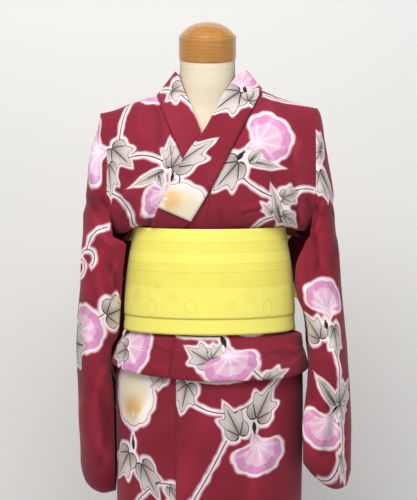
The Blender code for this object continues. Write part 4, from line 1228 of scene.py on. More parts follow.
def printed_cotton(name, motifs):
    """Crimson plain-weave cotton with a printed design, with painted shade in its creases' troughs and a
    painted highlight along their ridges. It is matt, with a fine thread relief.
    """
    finish, tree, shader = start_finish("printed cotton, " + name, 0.86,
                                        Sheen_Weight=0.1, Sheen_Roughness=0.5)
    shader.inputs["Specular IOR Level"].default_value = 0.28
    chart = add(tree, "UVMap", {"uv_map": "UVMap"}).outputs["UV"]
    wander = noise_of(tree, chart, 55.0, 0.0, "2D")
    wander = times_plus(tree, wander, 2.0 * BLANK_WANDER, -BLANK_WANDER)
    halo, stem, cover, ink = None, None, None, None
    for kind, *spots in motifs:
        if kind == "stem":
            (x, y), radius, mid, half = arc_through(*spots)
            local = add(tree, "Mapping", {"vector_type": "TEXTURE"}, Vector=chart, Location=(x, y, 0.0),
                        Rotation=(0.0, 0.0, mid))
            node = add(tree, "Group", {"node_tree": STEM}, Place=local.outputs[0], Radius=radius)
            node.inputs["Half turn"].default_value = half
            distance = node.outputs["Distance"]
            stem = distance if stem is None else math_node(tree, "MINIMUM", stem, distance)
        else:
            (x, y), (tip_x, tip_y), aspect = spots
            length = math.hypot(tip_x - x, tip_y - y)
            turn = math.atan2(tip_y - y, tip_x - x)
            local = add(tree, "Mapping", {"vector_type": "TEXTURE"}, Vector=chart, Location=(x, y, 0.0),
                        Rotation=(0.0, 0.0, turn), Scale=(length, length * aspect, 1.0))
            group, inks = INKS[kind]
            node = add(tree, "Group", {"node_tree": group}, Place=local.outputs[0],
                       Size=length * math.sqrt(aspect))
            for label, code in inks.items():
                node.inputs[label].default_value = tone(code)
            distance, mask, colour = (node.outputs[label] for label in ("Distance", "Mask", "Color"))
            cover = mask if cover is None else larger(tree, cover, mask)
            ink = colour if ink is None else blend(tree, mask, ink, colour)
        halo = distance if halo is None else math_node(tree, "SMOOTH_MIN", halo, distance, BLANK_JOIN)
    cloud = noise_of(tree, chart, 9.0, 2.0, "2D")
    colour = blend(tree, ramp(tree, cloud, 0.3, 0.7, 0.0, 1.0), tone(CRIMSON_DARK), tone(CRIMSON))
    if halo is not None:
        edge = plus(tree, halo, wander)
        colour = blend(tree, ramp(tree, edge, 0.0054, 0.0102, 0.8, 0.0), colour, tone("#eeb0c0"))
        colour = blend(tree, ramp(tree, edge, 0.0036, 0.0076, 1.0, 0.0), colour, tone("#f7e8ea"))
    if stem is not None:
        line = times_plus(tree, wander, 0.15, stem)
        colour = blend(tree, ramp(tree, line, 0.0007, 0.0016, 0.95, 0.0), colour, tone("#33252b"))
    if cover is not None:
        colour = blend(tree, cover, colour, ink)
    # a plain weave has about 20 threads to the centimetre; it is drawn coarser, so that it shows
    weave = []
    for direction in ("X", "Y"):
        bands = add(tree, "TexWave", {"bands_direction": direction, "wave_profile": "SIN"},
                    Vector=chart, Scale=math.tau / (20.0 * THREADS_APART), Distortion=0.6)
        bands.inputs["Detail"].default_value = 1.0
        weave.append(bands.outputs["Fac"])
    threads = times(tree, weave[0], weave[1])
    slub = noise_of(tree, chart, 260.0, 3.0, "2D")
    relief = times_plus(tree, threads, 0.5, slub)
    # painted shade and painted highlight: the colour is darker in the creases' troughs and a little paler
    # along their ridges, as light falls on them; the thread relief darkens it a little too, partly painted
    # shade between the threads and partly the yarn's own uneven tone
    fold = add(tree, "Attribute", {"attribute_name": "crease"}).outputs["Fac"]
    shade = times(tree, ramp(tree, relief, 0.3, 1.1, 0.94, 1.04), ramp(tree, fold, *CREASE_SHADE))
    colour = add(tree, "VectorMath", {"operation": "SCALE"}, i0=colour, Scale=shade).outputs[0]
    bump = add(tree, "Bump", Height=relief, Strength=0.22, Distance=0.0006)
    # broad soft unevenness of worn cotton, a few centimetres across
    soft = add(tree, "Bump", Height=cloud, Strength=0.3, Distance=0.012)
    tree.links.new(soft.outputs[0], bump.inputs["Normal"])
    tree.links.new(colour, shader.inputs["Base Color"])
    tree.links.new(bump.outputs[0], shader.inputs["Normal"])
    return finish


# ---- other finishes ----------------------------------------------------------------------------
def wave_of(tree, vector, spacing, direction="X", distortion=0.0):
    """Evenly spaced soft stripes, this far apart in metres."""
    node = add(tree, "TexWave", {"bands_direction": direction, "wave_profile": "SIN"}, Vector=vector,
               Scale=math.tau / (20.0 * spacing), Distortion=distortion)
    node.inputs["Detail"].default_value = 1.0
    return node.outputs["Fac"]


OBI_LIGHT, OBI_DARK = "#f7ee72", "#e2d250"
LINEN_LIGHT, LINEN_DARK = "#dfd3bd", "#dacdb6"
BEECH_LIGHT, BEECH_DARK = "#bb8442", "#a9722f"
TWILL_APART, TWILL_SLANT = 0.0058, 48.0  # metres and degrees
FORM_SEAM_Z = 1.379                      # the linen is sewn round under the neck's top
# bands across the obi's width: from, to (metres up the chart), slanted stripes, shade
OBI_BANDS = (
    (1.0315, 1.0515, 1.0, 0.0),
    (0.9941, 1.0105, 1.0, 0.0),
    (0.9656, 0.9941, 0.0, 0.35),
)
# faint rings and discs in the wide band, in one repeat: across, up, half width, half height, ring
OBI_REPEAT = 0.232
OBI_SPOTS = (
    (0.0, 0.924, 0.01, 0.016, 1.0),
    (-0.036, 0.9455, 0.015, 0.015, 0.0),
    (-0.075, 0.931, 0.0104, 0.0104, 0.0),
    (0.08, 0.929, 0.0114, 0.0114, 1.0),
    (-0.0097, 0.9484, 0.0024, 0.0024, 1.0),
    (0.012, 0.9631, 0.0024, 0.0024, 1.0),
    (0.046, 0.946, 0.008, 0.008, 0.0),
)


def woven_obi(name, shift=0.0):
    """Yellow figured weave with a soft sheen: slanted twill bands, a wide band of faint rings."""
    finish, tree, shader = start_finish("figured obi weave, " + name, 0.52,
                                        Sheen_Weight=0.25, Sheen_Roughness=0.4)
    shader.inputs["Specular IOR Level"].default_value = 0.35
    chart = add(tree, "UVMap", {"uv_map": "UVMap"}).outputs["UV"]
    axes = add(tree, "SeparateXYZ", Vector=chart).outputs
    up = plus(tree, axes["Y"], shift)
    # twill stripes slanting down to the right
    slanted = add(tree, "Mapping", {"vector_type": "POINT"}, Vector=chart,
                  Rotation=(0.0, 0.0, math.radians(-TWILL_SLANT))).outputs[0]
    twill = wave_of(tree, slanted, TWILL_APART)
    stripes, shade = 0.0, 0.0
    for low, high, slant, dark in OBI_BANDS:
        inside = times(tree, ramp(tree, up, low - 0.0005, low + 0.0005, 0.0, 1.0),
                       ramp(tree, up, high - 0.0005, high + 0.0005, 1.0, 0.0))
        if slant:
            stripes = plus(tree, inside, stripes)
        else:
            shade = times_plus(tree, inside, dark, shade)
    edges = 0.0
    for low, high, *_ in OBI_BANDS:
        for border in (low, high):
            away = absolute(tree, minus(tree, up, border))
            edges = larger(tree, ramp(tree, away, 0.0004, 0.0011, 1.0, 0.0), edges)
    turns = math_node(tree, "FRACT", times_plus(tree, axes["X"], 1.0 / OBI_REPEAT, 20.0))
    across = times_plus(tree, turns, OBI_REPEAT, -0.5 * OBI_REPEAT)
    spots = 0.0
    for x, z, half_x, half_z, ring in OBI_SPOTS:
        a = times_plus(tree, across, 1.0 / half_x, -x / half_x)
        b = times_plus(tree, up, 1.0 / half_z, -z / half_z)
        out = times_plus(tree, a, a, times(tree, b, b))
        out = math_node(tree, "SQRT", out)
        if ring:
            rim = absolute(tree, minus(tree, out, 1.0))
            mark = ramp(tree, rim, 0.0004 / half_x, 0.0016 / half_x, 0.85, 0.0)
        else:
            mark = ramp(tree, out, 0.93, 1.05, 0.38, 0.0)
        spots = larger(tree, mark, spots)
    striped = times(tree, stripes, twill)
    dark = times_plus(tree, striped, 0.55, shade)
    dark = plus(tree, dark, times(tree, spots, 0.6))
    dark = times_plus(tree, edges, 0.35, dark)
    cloud = ramp(tree, noise_of(tree, chart, 26.0), 0.35, 0.65, -0.06, 0.06)
    dark = plus(tree, dark, cloud)
    colour = blend(tree, dark, tone(OBI_LIGHT), tone(OBI_DARK))
    tree.links.new(colour, shader.inputs["Base Color"])
    # weft ribs 1.1 mm apart give the fine lines along the band
    rib = wave_of(tree, chart, 0.0011, "Y", 0.4)
    fuzz = times(tree, noise_of(tree, chart, 700.0, 1.0), 0.4)
    height = times_plus(tree, rib, 0.35, fuzz)
    height = plus(tree, height, times(tree, striped, 0.8))
    height = plus(tree, height, times(tree, spots, 0.7))
    height = plus(tree, height, times(tree, edges, 0.9))
    bump = add(tree, "Bump", Height=height, Strength=0.35, Distance=0.0006)
    tree.links.new(bump.outputs[0], shader.inputs["Normal"])
    return finish


def linen_finish():
    """Unbleached linen over the form: matt cream with a fine plain weave."""
    finish, tree, shader = start_finish("unbleached linen over the form", 0.92)
    shader.inputs["Specular IOR Level"].default_value = 0.2
    where = add(tree, "TexCoord").outputs["Object"]
    turned = add(tree, "SeparateXYZ", Vector=where).outputs
    bearing = times(tree, math_node(tree, "ARCTAN2", turned["X"], turned["Y"]), 0.055)
    chart = add(tree, "CombineXYZ", X=bearing, Y=turned["Z"]).outputs[0]
    # threads 1.0 mm apart round and 1.2 mm apart up, so that the weave just shows
    weave = times(tree, wave_of(tree, chart, 0.001, "X", 1.0),
                  wave_of(tree, chart, 0.0012, "Y", 1.0))
    slub = noise_of(tree, chart, 160.0, 3.0)
    seam = absolute(tree, minus(tree, turned["Z"], FORM_SEAM_Z))
    sewn = ramp(tree, seam, 0.0006, 0.0022, 1.0, 0.0)
    height = times_plus(tree, weave, 0.5, slub)
    height = times_plus(tree, sewn, -0.9, height)
    cloth_tone = blend(tree, ramp(tree, slub, 0.3, 0.75, 0.0, 1.0), tone(LINEN_DARK), tone(LINEN_LIGHT))
    colour = blend(tree, times(tree, sewn, 0.14), cloth_tone, tone("#b9a57f"))
    tree.links.new(colour, shader.inputs["Base Color"])
    bump = add(tree, "Bump", Height=height, Strength=0.3, Distance=0.0006)
    tree.links.new(bump.outputs[0], shader.inputs["Normal"])
    return finish


def wood_finish():
    """Varnished turned beech: fine darker grain, brown flecks, and a clear glossy coat."""
    finish, tree, shader = start_finish("varnished beech", 0.36, Coat_Weight=0.7, Coat_Roughness=0.13)
    where = add(tree, "TexCoord").outputs["Object"]
    long = add(tree, "Mapping", {"vector_type": "POINT"}, Vector=where, Location=(0.31, 0.12, 0.0),
               Rotation=(0.0, math.radians(14.0), 0.0), Scale=(1.0, 0.5, 2.2)).outputs[0]
    # growth rings about 5 mm apart, wavering
    rings = add(tree, "TexWave", {"wave_type": "RINGS", "rings_direction": "Y", "wave_profile": "SIN"},
                Vector=long, Scale=20.0, Distortion=4.0)
    rings.inputs["Detail"].default_value = 2.0
    rings.inputs["Detail Scale"].default_value = 2.2
    drawn = add(tree, "Mapping", {"vector_type": "POINT"}, Vector=where, Scale=(22.0, 22.0, 12.0)).outputs[0]
    fleck = noise_of(tree, drawn, 3.0, 3.0)
    grain = times_plus(tree, rings.outputs["Fac"], 0.24, times(tree, fleck, 0.8))
    colour = blend(tree, ramp(tree, grain, 0.25, 0.85, 0.0, 1.0), tone(BEECH_DARK), tone(BEECH_LIGHT))
    tree.links.new(colour, shader.inputs["Base Color"])
    bump = add(tree, "Bump", Height=grain, Strength=0.08, Distance=0.0005)
    tree.links.new(bump.outputs[0], shader.inputs["Normal"])
    return finish


def stand_finish():
    """White powder-coated steel: satin, with a fine orange-peel texture."""
    finish, tree, shader = start_finish("white powder-coated steel", 0.42)
    where = add(tree, "TexCoord").outputs["Object"]
    peel = noise_of(tree, where, 900.0, 1.0)
    wear = ramp(tree, noise_of(tree, where, 14.0, 3.0), 0.4, 0.7, 0.0, 1.0)
    tree.links.new(blend(tree, wear, tone("#e9e7e2"), tone("#dfdcd5")), shader.inputs["Base Color"])
    bump = add(tree, "Bump", Height=peel, Strength=0.12, Distance=0.0003)
    tree.links.new(bump.outputs[0], shader.inputs["Normal"])
    return finish


# ---- where things lie on the cloth -------------------------------------------------------------
# where the motifs lie on the front of each piece, as x and z in millimetres: a stem by three places,
# the others by stalk and tip, with their width over their length
FRONT_PRINT = {
    "body left": (
        ("pink", (58, 1219), (149, 1262), 0.82), ("calyx", (51, 1207), (70, 1228), 0.55),
        ("leaf", (62, 1213), (7, 1150), 0.85), ("blade", (72, 1205), (137, 1192), 0.3),
        ("blade", (74, 1203), (100, 1228), 0.75), ("stem", (58, 1179), (85, 1156), (119, 1138)),
        ("blade", (137, 1085), (118, 1157), 0.36), ("leaf", (133, 1133), (171, 1146), 0.95),
        ("leaf", (135, 1104), (166, 1081), 0.8), ("leaf", (123, 1104), (102, 1123), 0.75),
        ("stem", (139, 1131), (156, 1144), (200, 1148)), ("stem", (120, 1098), (99, 1090), (81, 1073)),
        ("stem", (108, 1329), (144, 1318), (178, 1312)), ("leaf", (7, 820), (-43, 850), 1.0),
        ("leaf", (1, 826), (24, 857), 0.8), ("calyx", (22, 871), (34, 846), 0.6),
        ("pink", (31, 860), (47, 784), 1.5), ("leaf", (101, 786), (145, 801), 0.62),
        ("stem", (80, 811), (93, 797), (103, 776)), ("stem", (-61, 873), (-22, 871), (24, 871)),
        ("blade", (51, 882), (93, 873), 0.3),
    ),
    "body right": (
        ("stem", (-150, 1316), (-167, 1281), (-173, 1245)), ("leaf", (-194, 1234), (-150, 1194), 0.95),
        ("stem", (-157, 1209), (-121, 1215), (-72, 1192)),
        ("stem", (-163, 1205), (-182, 1194), (-188, 1173)), ("leaf", (-194, 1207), (-190, 1136), 0.55),
        ("stem", (-190, 1142), (-164, 1125), (-137, 1075)), ("leaf", (-72, 1188), (-75, 1245), 0.8),
        ("leaf", (-77, 1186), (7, 1243), 0.72), ("blade", (-85, 1188), (-148, 1156), 0.34),
        ("blade", (-98, 1182), (-91, 1154), 0.85), ("pink", (-74, 1169), (-118, 1108), 0.85),
        ("calyx", (-70, 1161), (-70, 1190), 0.5), ("pink", (-83, 1340), (-104, 1318), 1.1),
    ),
    "okumi left": (
        ("pink", (-172, 850), (-119, 843), 1.35), ("leaf", (-153, 844), (-184, 823), 1.0),
        ("calyx", (-178, 843), (-169, 860), 0.5),
    ),
    "okumi right": (
        ("leaf", (10, 1000), (30, 940), 0.8),
    ),
    "sleeve left": (
        ("leaf", (217, 1221), (190, 1266), 0.7), ("leaf", (215, 1227), (188, 1196), 0.75),
        ("leaf", (207, 1191), (227, 1129), 0.5), ("blade", (211, 1187), (238, 1123), 0.3),
        ("stem", (196, 1146), (205, 1146), (217, 1144)), ("pink", (229, 888), (225, 970), 1.0),
        ("calyx", (226, 880), (222, 902), 0.55), ("leaf", (218, 855), (187, 906), 0.95),
        ("leaf", (238, 892), (246, 826), 0.6), ("stem", (240, 837), (250, 788), (248, 735)),
        ("leaf", (244, 733), (269, 775), 0.95), ("leaf", (248, 739), (258, 704), 0.95),
        ("blade", (244, 733), (207, 790), 0.33), ("pink", (243, 727), (197, 668), 1.3),
        ("calyx", (246, 735), (236, 718), 0.5), ("stem", (248, 720), (256, 670), (249, 621)),
        ("stem", (251, 629), (241, 599), (212, 588)), ("leaf", (249, 641), (262, 586), 0.42),
    ),
    "sleeve right": (
        ("pink", (-186, 1227), (-236, 1219), 1.75), ("stem", (-200, 1075), (-227, 1059), (-237, 1030)),
        ("stem", (-245, 1022), (-227, 1028), (-223, 1009)),
        ("stem", (-249, 1009), (-241, 997), (-251, 978)), ("leaf", (-208, 902), (-164, 919), 1.35),
        ("stem", (-216, 900), (-210, 900), (-203, 900)), ("pink", (-262, 864), (-212, 886), 1.15),
        ("calyx", (-266, 858), (-258, 866), 0.6), ("leaf", (-265, 843), (-238, 843), 1.7),
    ),
    "over collar": (
        ("leaf", (67, 1340), (5, 1297), 0.85), ("leaf", (71, 1314), (92, 1340), 0.85),
        ("stem", (66, 1318), (85, 1316), (102, 1304)), ("pink", (69, 1333), (71, 1384), 0.8),
        ("calyx", (67, 1335), (69, 1348), 0.7), ("leaf", (-77, 1186), (7, 1244), 0.72),
        ("leaf", (-72, 1188), (-75, 1245), 0.8), ("stem", (-64, 1186), (-56, 1173), (-64, 1158)),
        ("yellow", (-112, 1146), (-9, 1106), 0.8),
    ),
    "over collar, under leg": (
        ("stem", (-88, 1340), (-79, 1340), (-69, 1337)), ("leaf", (-77, 1340), (-37, 1331), 0.95),
        ("stem", (-50, 1327), (-26, 1302), (-9, 1264)),
    ),
    "skirt okumi left": (
        ("yellow", (-147, 675), (-144, 816), 0.72), ("calyx", (-145, 646), (-147, 679), 0.42),
        ("leaf", (-149, 648), (-176, 586), 0.95), ("leaf", (-135, 630), (-99, 558), 0.68),
        ("leaf", (-83, 799), (-114, 770), 0.75), ("stem", (-103, 586), (-89, 586), (-72, 584)),
        ("stem", (-103, 582), (-118, 570), (-137, 549)), ("leaf", (-80, 586), (-53, 541), 0.6),
        ("stem", (-80, 550), (-98, 500), (-100, 450)), ("pink", (-100, 440), (-132, 372), 1.0),
        ("calyx", (-98, 452), (-106, 428), 0.5), ("leaf", (-100, 452), (-70, 500), 0.9),
        ("leaf", (-142, 275), (-108, 215), 0.8), ("leaf", (-142, 280), (-160, 335), 0.8),
        ("stem", (-112, 372), (-148, 330), (-142, 270)), ("yellow", (-90, 190), (-122, 100), 0.8),
        ("calyx", (-88, 202), (-96, 176), 0.5),
    ),
    "skirt front left": (
        ("leaf", (-41, 789), (-54, 725), 0.88), ("blade", (-30, 793), (45, 785), 0.22),
        ("stem", (-37, 750), (-1, 729), (51, 727)), ("stem", (47, 726), (95, 750), (140, 800)),
        ("leaf", (85, 702), (119, 773), 0.86), ("leaf", (62, 671), (28, 742), 0.8),
        ("calyx", (85, 706), (87, 677), 0.5), ("pink", (83, 690), (104, 610), 1.32),
        ("stem", (32, 671), (-3, 603), (-37, 545)), ("stem", (-37, 548), (-52, 500), (-40, 450)),
        ("leaf", (-42, 455), (10, 420), 0.85), ("leaf", (-40, 450), (-58, 395), 0.8),
        ("stem", (0, 430), (50, 440), (92, 485)), ("leaf", (88, 482), (132, 532), 0.85),
        ("leaf", (90, 485), (130, 450), 0.8), ("pink", (85, 482), (70, 395), 1.1),
        ("calyx", (87, 494), (83, 468), 0.5), ("stem", (-30, 402), (10, 340), (60, 300)),
        ("leaf", (55, 302), (105, 332), 0.8), ("leaf", (60, 305), (50, 240), 0.85),
        ("pink", (-30, 270), (-52, 185), 1.1), ("calyx", (-28, 282), (-34, 258), 0.5),
        ("blade", (-30, 280), (4, 318), 0.35), ("stem", (50, 250), (20, 200), (30, 150)),
        ("leaf", (26, 155), (66, 108), 0.85), ("leaf", (32, 155), (-10, 118), 0.8),
        ("yellow", (120, 245), (140, 145), 0.8), ("calyx", (118, 258), (123, 232), 0.5),
    ),
    "skirt front right": (
        ("leaf", (-150, 620), (-168, 560), 0.8), ("pink", (-140, 400), (-160, 320), 1.0),
    ),
}
# the same on the back of the pieces that run over the shoulder or round the arm
BACK_PRINT = {
    "body left": (
        ("stem", (125, 1318), (108, 1290), (80, 1262)), ("leaf", (76, 1258), (26, 1274), 0.8),
        ("leaf", (72, 1252), (120, 1276), 0.85), ("pink", (70, 1246), (100, 1168), 1.0),
        ("calyx", (68, 1258), (74, 1234), 0.5), ("stem", (112, 1268), (150, 1244), (194, 1258)),
        ("stem", (40, 1190), (46, 1150), (34, 1100)), ("leaf", (40, 1196), (14, 1240), 0.7),
        ("leaf", (150, 1162), (184, 1112), 0.85), ("blade", (152, 1164), (122, 1120), 0.35),
        ("leaf", (80, 866), (124, 828), 0.9), ("pink", (30, 864), (50, 796), 1.0),
        ("stem", (124, 836), (150, 846), (180, 836)),
    ),
    "body right": (
        ("stem", (-14, 1296), (-56, 1250), (-60, 1190)), ("leaf", (-56, 1200), (-104, 1158), 0.85),
        ("leaf", (-62, 1198), (-18, 1152), 0.8), ("pink", (-130, 1272), (-172, 1206), 1.0),
        ("calyx", (-124, 1282), (-137, 1262), 0.5), ("leaf", (-126, 1276), (-88, 1300), 0.75),
        ("yellow", (-146, 1146), (-104, 1086), 0.9), ("calyx", (-152, 1158), (-138, 1138), 0.5),
        ("stem", (-60, 872), (-80, 844), (-110, 836)), ("leaf", (-108, 840), (-148, 812), 0.85),
        ("pink", (-30, 866), (-26, 804), 0.95),
    ),
    "sleeve left": (
        ("leaf", (216, 1206), (204, 1256), 0.8), ("pink", (218, 1200), (214, 1116), 1.0),
        ("calyx", (218, 1212), (217, 1188), 0.5), ("stem", (212, 1100), (232, 1030), (220, 962)),
        ("leaf", (218, 966), (250, 906), 0.85), ("leaf", (222, 964), (190, 916), 0.75),
        ("pink", (218, 862), (232, 772), 1.0), ("calyx", (216, 874), (220, 848), 0.5),
        ("stem", (196, 900), (190, 800), (212, 704)), ("leaf", (210, 710), (246, 656), 0.9),
        ("leaf", (214, 706), (196, 640), 0.8),
    ),
    "sleeve right": (
        ("stem", (-206, 1270), (-222, 1210), (-212, 1150)), ("leaf", (-214, 1156), (-236, 1106), 0.85),
        ("leaf", (-210, 1154), (-196, 1104), 0.75), ("stem", (-216, 1110), (-200, 1040), (-220, 980)),
        ("pink", (-222, 976), (-236, 890), 1.0), ("calyx", (-220, 988), (-224, 962), 0.5),
        ("leaf", (-218, 980), (-192, 934), 0.8), ("stem", (-200, 930), (-212, 840), (-196, 760)),
        ("leaf", (-198, 766), (-236, 724), 0.85), ("leaf", (-202, 762), (-190, 706), 0.8),
        ("pink", (-228, 680), (-222, 600), 0.95), ("calyx", (-229, 692), (-227, 668), 0.5),
    ),
    "skirt back left": (
        ("stem", (155, 785), (122, 730), (130, 665)), ("leaf", (134, 672), (86, 628), 0.85),
        ("leaf", (128, 668), (158, 612), 0.75), ("pink", (50, 722), (38, 630), 1.1),
        ("calyx", (51, 735), (48, 708), 0.5), ("leaf", (48, 728), (94, 766), 0.8),
        ("stem", (98, 632), (60, 570), (50, 500)), ("leaf", (48, 508), (90, 458), 0.85),
        ("leaf", (52, 506), (12, 466), 0.8), ("yellow", (120, 452), (140, 350), 0.85),
        ("calyx", (119, 465), (123, 438), 0.5), ("stem", (40, 460), (30, 390), (60, 330)),
        ("leaf", (56, 336), (104, 300), 0.85), ("leaf", (62, 334), (30, 278), 0.8),
        ("pink", (130, 242), (120, 150), 1.0), ("calyx", (131, 255), (129, 228), 0.5),
        ("stem", (45, 290), (36, 200), (50, 128)), ("leaf", (52, 134), (16, 88), 0.8),
    ),
    "skirt back right": (
        ("pink", (-120, 742), (-140, 652), 1.05), ("calyx", (-118, 755), (-123, 728), 0.5),
        ("leaf", (-124, 744), (-78, 772), 0.85), ("stem", (-80, 770), (-44, 728), (-38, 668)),
        ("leaf", (-34, 674), (-76, 634), 0.85), ("leaf", (-40, 670), (-10, 616), 0.75),
        ("stem", (-60, 640), (-96, 570), (-130, 530)), ("leaf", (-124, 534), (-160, 492), 0.85),
        ("leaf", (-128, 536), (-94, 486), 0.8), ("yellow", (-44, 520), (-60, 422), 0.85),
        ("calyx", (-42, 533), (-47, 506), 0.5), ("stem", (-120, 490), (-98, 410), (-120, 340)),
        ("leaf", (-116, 346), (-154, 300), 0.85), ("leaf", (-122, 342), (-82, 300), 0.8),
        ("pink", (-40, 322), (-30, 232), 1.05), ("calyx", (-41, 335), (-39, 308), 0.5),
        ("blade", (-44, 330), (-78, 372), 0.35), ("stem", (-110, 300), (-130, 220), (-100, 150)),
        ("leaf", (-104, 156), (-62, 112), 0.85), ("leaf", (-98, 152), (-140, 118), 0.8),
    ),
}

# soft creases on the front of each piece: x and z of both ends, width and depth, in millimetres;
# a depth above 0 is a ridge and one below 0 a trough
FRONT_CREASES = {
    "body right": (
        (-109, 1312, -99, 1233, 7, -1.5), (-132, 1298, -122, 1240, 6, 1.2),
        (-177, 1156, -169, 1088, 6, -2.4), (-159, 1152, -154, 1090, 6, 2.4),
        (-136, 1082, -142, 1117, 3.5, 1.9), (-117, 1082, -101, 1123, 4, -1.8),
        (-88, 1082, -63, 1105, 3.5, 1.4), (-9, 1082, 7, 1115, 4, -1.4),
        (-152, 1082, -161, 1119, 4, -2.2),
    ),
    "body left": (
        (149, 1225, 157, 1129, 8, -2.6), (173, 1244, 181, 1136, 7, 2.7),
        (107, 1206, 117, 1144, 7, -1.6), (59, 1101, 101, 1113, 3.2, -2.6),
        (59, 1117, 103, 1129, 4, 1.9), (159, 1121, 171, 1080, 3.6, -3), (175, 1123, 187, 1080, 4, 3.2),
        (184, 1134, 194, 1098, 4, -2.4), (30, 1082, 20, 1115, 4, -1.4), (127, 1086, 138, 1121, 4, -2.2),
        (142, 1086, 150, 1117, 3.5, 2), (115, 1319, 138, 1260, 8, 1.4), (102, 833, 176, 821, 3, -1.8),
        (122, 813, 184, 829, 4, 2.2), (-7, 846, 63, 837, 4, 1.4), (32, 817, 102, 803, 4, -1.2),
        (143, 852, 182, 839, 3, 2),
    ),
    "okumi left": (
        (-123, 846, -67, 833, 3, -1.6), (-120, 823, -71, 811, 4, 1.8), (-158, 848, -139, 813, 4, 1.6),
    ),
    "skirt okumi left": (
        (-161, 748, -150, 100, 12, -0.7), (-112, 754, -98, 100, 13, 1.8),
    ),
    "skirt front left": (
        (7, 748, -15, 100, 16, 2), (67, 742, 86, 100, 12, -0.8), (135, 748, 153, 100, 11, 1.9),
    ),
    "sleeve right": (
        (-213, 1130, -171, 1055, 5, -5.1), (-196, 1130, -162, 1072, 5, 4.8),
        (-221, 1103, -189, 1037, 6, 4.4), (-237, 1136, -220, 1074, 6, -2.7),
        (-197, 1008, -189, 930, 5, -3.7), (-208, 1032, -205, 934, 6, 3.4),
        (-229, 1074, -234, 934, 8, 2.6), (-181, 1008, -179, 934, 4, 2.7),
        (-223, 768, -220, 600, 8, -2.7), (-203, 805, -202, 616, 7, 3.1), (-241, 746, -237, 636, 7, 2.4),
        (-228, 895, -227, 817, 8, 2), (-217, 1244, -213, 1148, 7, 2.4),
    ),
    "sleeve left": (
        (196, 1065, 206, 989, 5.5, -3.7), (218, 1063, 232, 981, 6, 3.7), (183, 1032, 187, 950, 5, 2.7),
        (208, 1119, 198, 1072, 4, -4.3), (227, 1130, 210, 1065, 5, 3.9),
        (235, 1113, 239, 1008, 6, -2.6), (245, 934, 252, 793, 8, 2.7), (217, 786, 216, 636, 8, -2.9),
        (198, 742, 198, 636, 6, 2.9), (256, 742, 259, 636, 6, 2.2), (226, 934, 223, 837, 7, -2),
        (209, 1244, 217, 1148, 6, 2.2),
    ),
}

# and on the back
BACK_CREASES = {
    "body right": (
        (-60, 1300, -90, 1200, 10, 1.9), (-140, 1270, -150, 1160, 9, -2.2),
        (-110, 1190, -100, 1090, 8, 2.2), (-30, 1085, -40, 1150, 6, -2), (-75, 1085, -92, 1135, 5, 2),
        (-130, 1085, -148, 1140, 6, -2.4), (-162, 1085, -168, 1160, 6, 2.4),
        (-150, 842, -80, 834, 4, -1.6), (-120, 822, -30, 818, 5, 1.9),
    ),
    "body left": (
        (55, 1300, 80, 1190, 10, -1.9), (135, 1280, 140, 1150, 9, 2.3), (100, 1180, 110, 1095, 8, -2),
        (26, 1085, 34, 1140, 6, 2), (70, 1085, 80, 1150, 5, -2), (126, 1085, 138, 1130, 6, 2.3),
        (160, 1085, 170, 1150, 6, -2.4), (40, 846, 130, 838, 4, 1.8), (70, 820, 160, 828, 4, -1.6),
    ),
    "sleeve right": (
        (-232, 1200, -226, 1080, 8, 2.6), (-208, 1130, -180, 1050, 6, -4.1),
        (-222, 1100, -200, 1030, 6, 4.1), (-196, 1000, -192, 900, 6, 3.1),
        (-226, 980, -230, 840, 8, -2.7), (-214, 800, -210, 640, 8, 2.9),
        (-238, 760, -236, 620, 7, -2.4), (-198, 740, -198, 620, 6, -2),
    ),
    "sleeve left": (
        (226, 1210, 232, 1090, 8, -2.6), (204, 1120, 190, 1050, 6, 4.1),
        (222, 1110, 206, 1040, 6, -3.4), (194, 1010, 190, 920, 6, -2.9), (232, 990, 240, 850, 8, 2.9),
        (214, 800, 214, 650, 8, -2.7), (242, 780, 246, 640, 7, 2.7), (200, 730, 200, 640, 6, 2.2),
    ),
    "skirt back left": (
        (40, 770, 52, 90, 15, 1.8), (88, 760, 86, 100, 12, -0.7), (132, 770, 140, 90, 13, 2),
    ),
    "skirt back right": (
        (-36, 760, -46, 100, 14, -0.7), (-72, 770, -60, 90, 13, 1.9), (-120, 760, -134, 90, 15, 1.8),
    ),
}


# ---- building the robe -------------------------------------------------------------------------
# soft creases across the front of the obi's turns
OBI_CREASES = (
    (-110, 1068, -96, 985, 20, -0.7), (-40, 1070, -30, 960, 24, 0.6), (55, 1072, 48, 985, 20, -0.6),
    (118, 1060, 110, 940, 22, 0.7), (-130, 960, -70, 935, 12, -0.5), (60, 940, 128, 956, 12, -0.5),
)


BLANK_REACH = 0.013          # the blank round a motif ends within this distance
MOST_MOTIFS = 7.5            # leaves that one material can draw; a stem or blossom counts for less
SMALLEST_SWATCH = 0.02


def creased(name, grid):
    """How far the listed creases push each point of a piece outwards."""
    facing_y = facing(grid)[..., 1]
    x, z = grid[..., 0], grid[..., 2]
    front = crease_push(x, z, FRONT_CREASES.get(name, ()))
    back = crease_push(x, z, BACK_CREASES.get(name, ()))
    return front * np.clip(0.5 - 2.0 * facing_y, 0.0, 1.0) + back * np.clip(0.5 + 2.0 * facing_y, 0.0, 1.0)


def placed(name, rows, back=False):
    """The motifs' places moved from the shown piece to its flat cloth."""
    return [tuple(flat_place(name, part[0] / MILLIMETRES, part[1] / MILLIMETRES, back)
                  if isinstance(part, tuple) else part for part in row) for row in rows]


def motif_box(row):
    """The box on the flat cloth that a motif and the blank round it reach."""
    spots = [part for part in row if isinstance(part, tuple)]
    reach = BLANK_REACH
    if row[0] != "stem":
        (x, y), (tip_x, tip_y) = spots
        length = math.hypot(tip_x - x, tip_y - y)
        spots = [(0.55 * x + 0.45 * tip_x, 0.55 * y + 0.45 * tip_y)]
        reach += 0.62 * length * max(1.0, row[3])
    us, vs = zip(*spots)
    return min(us) - reach, min(vs) - reach, max(us) + reach, max(vs) + reach


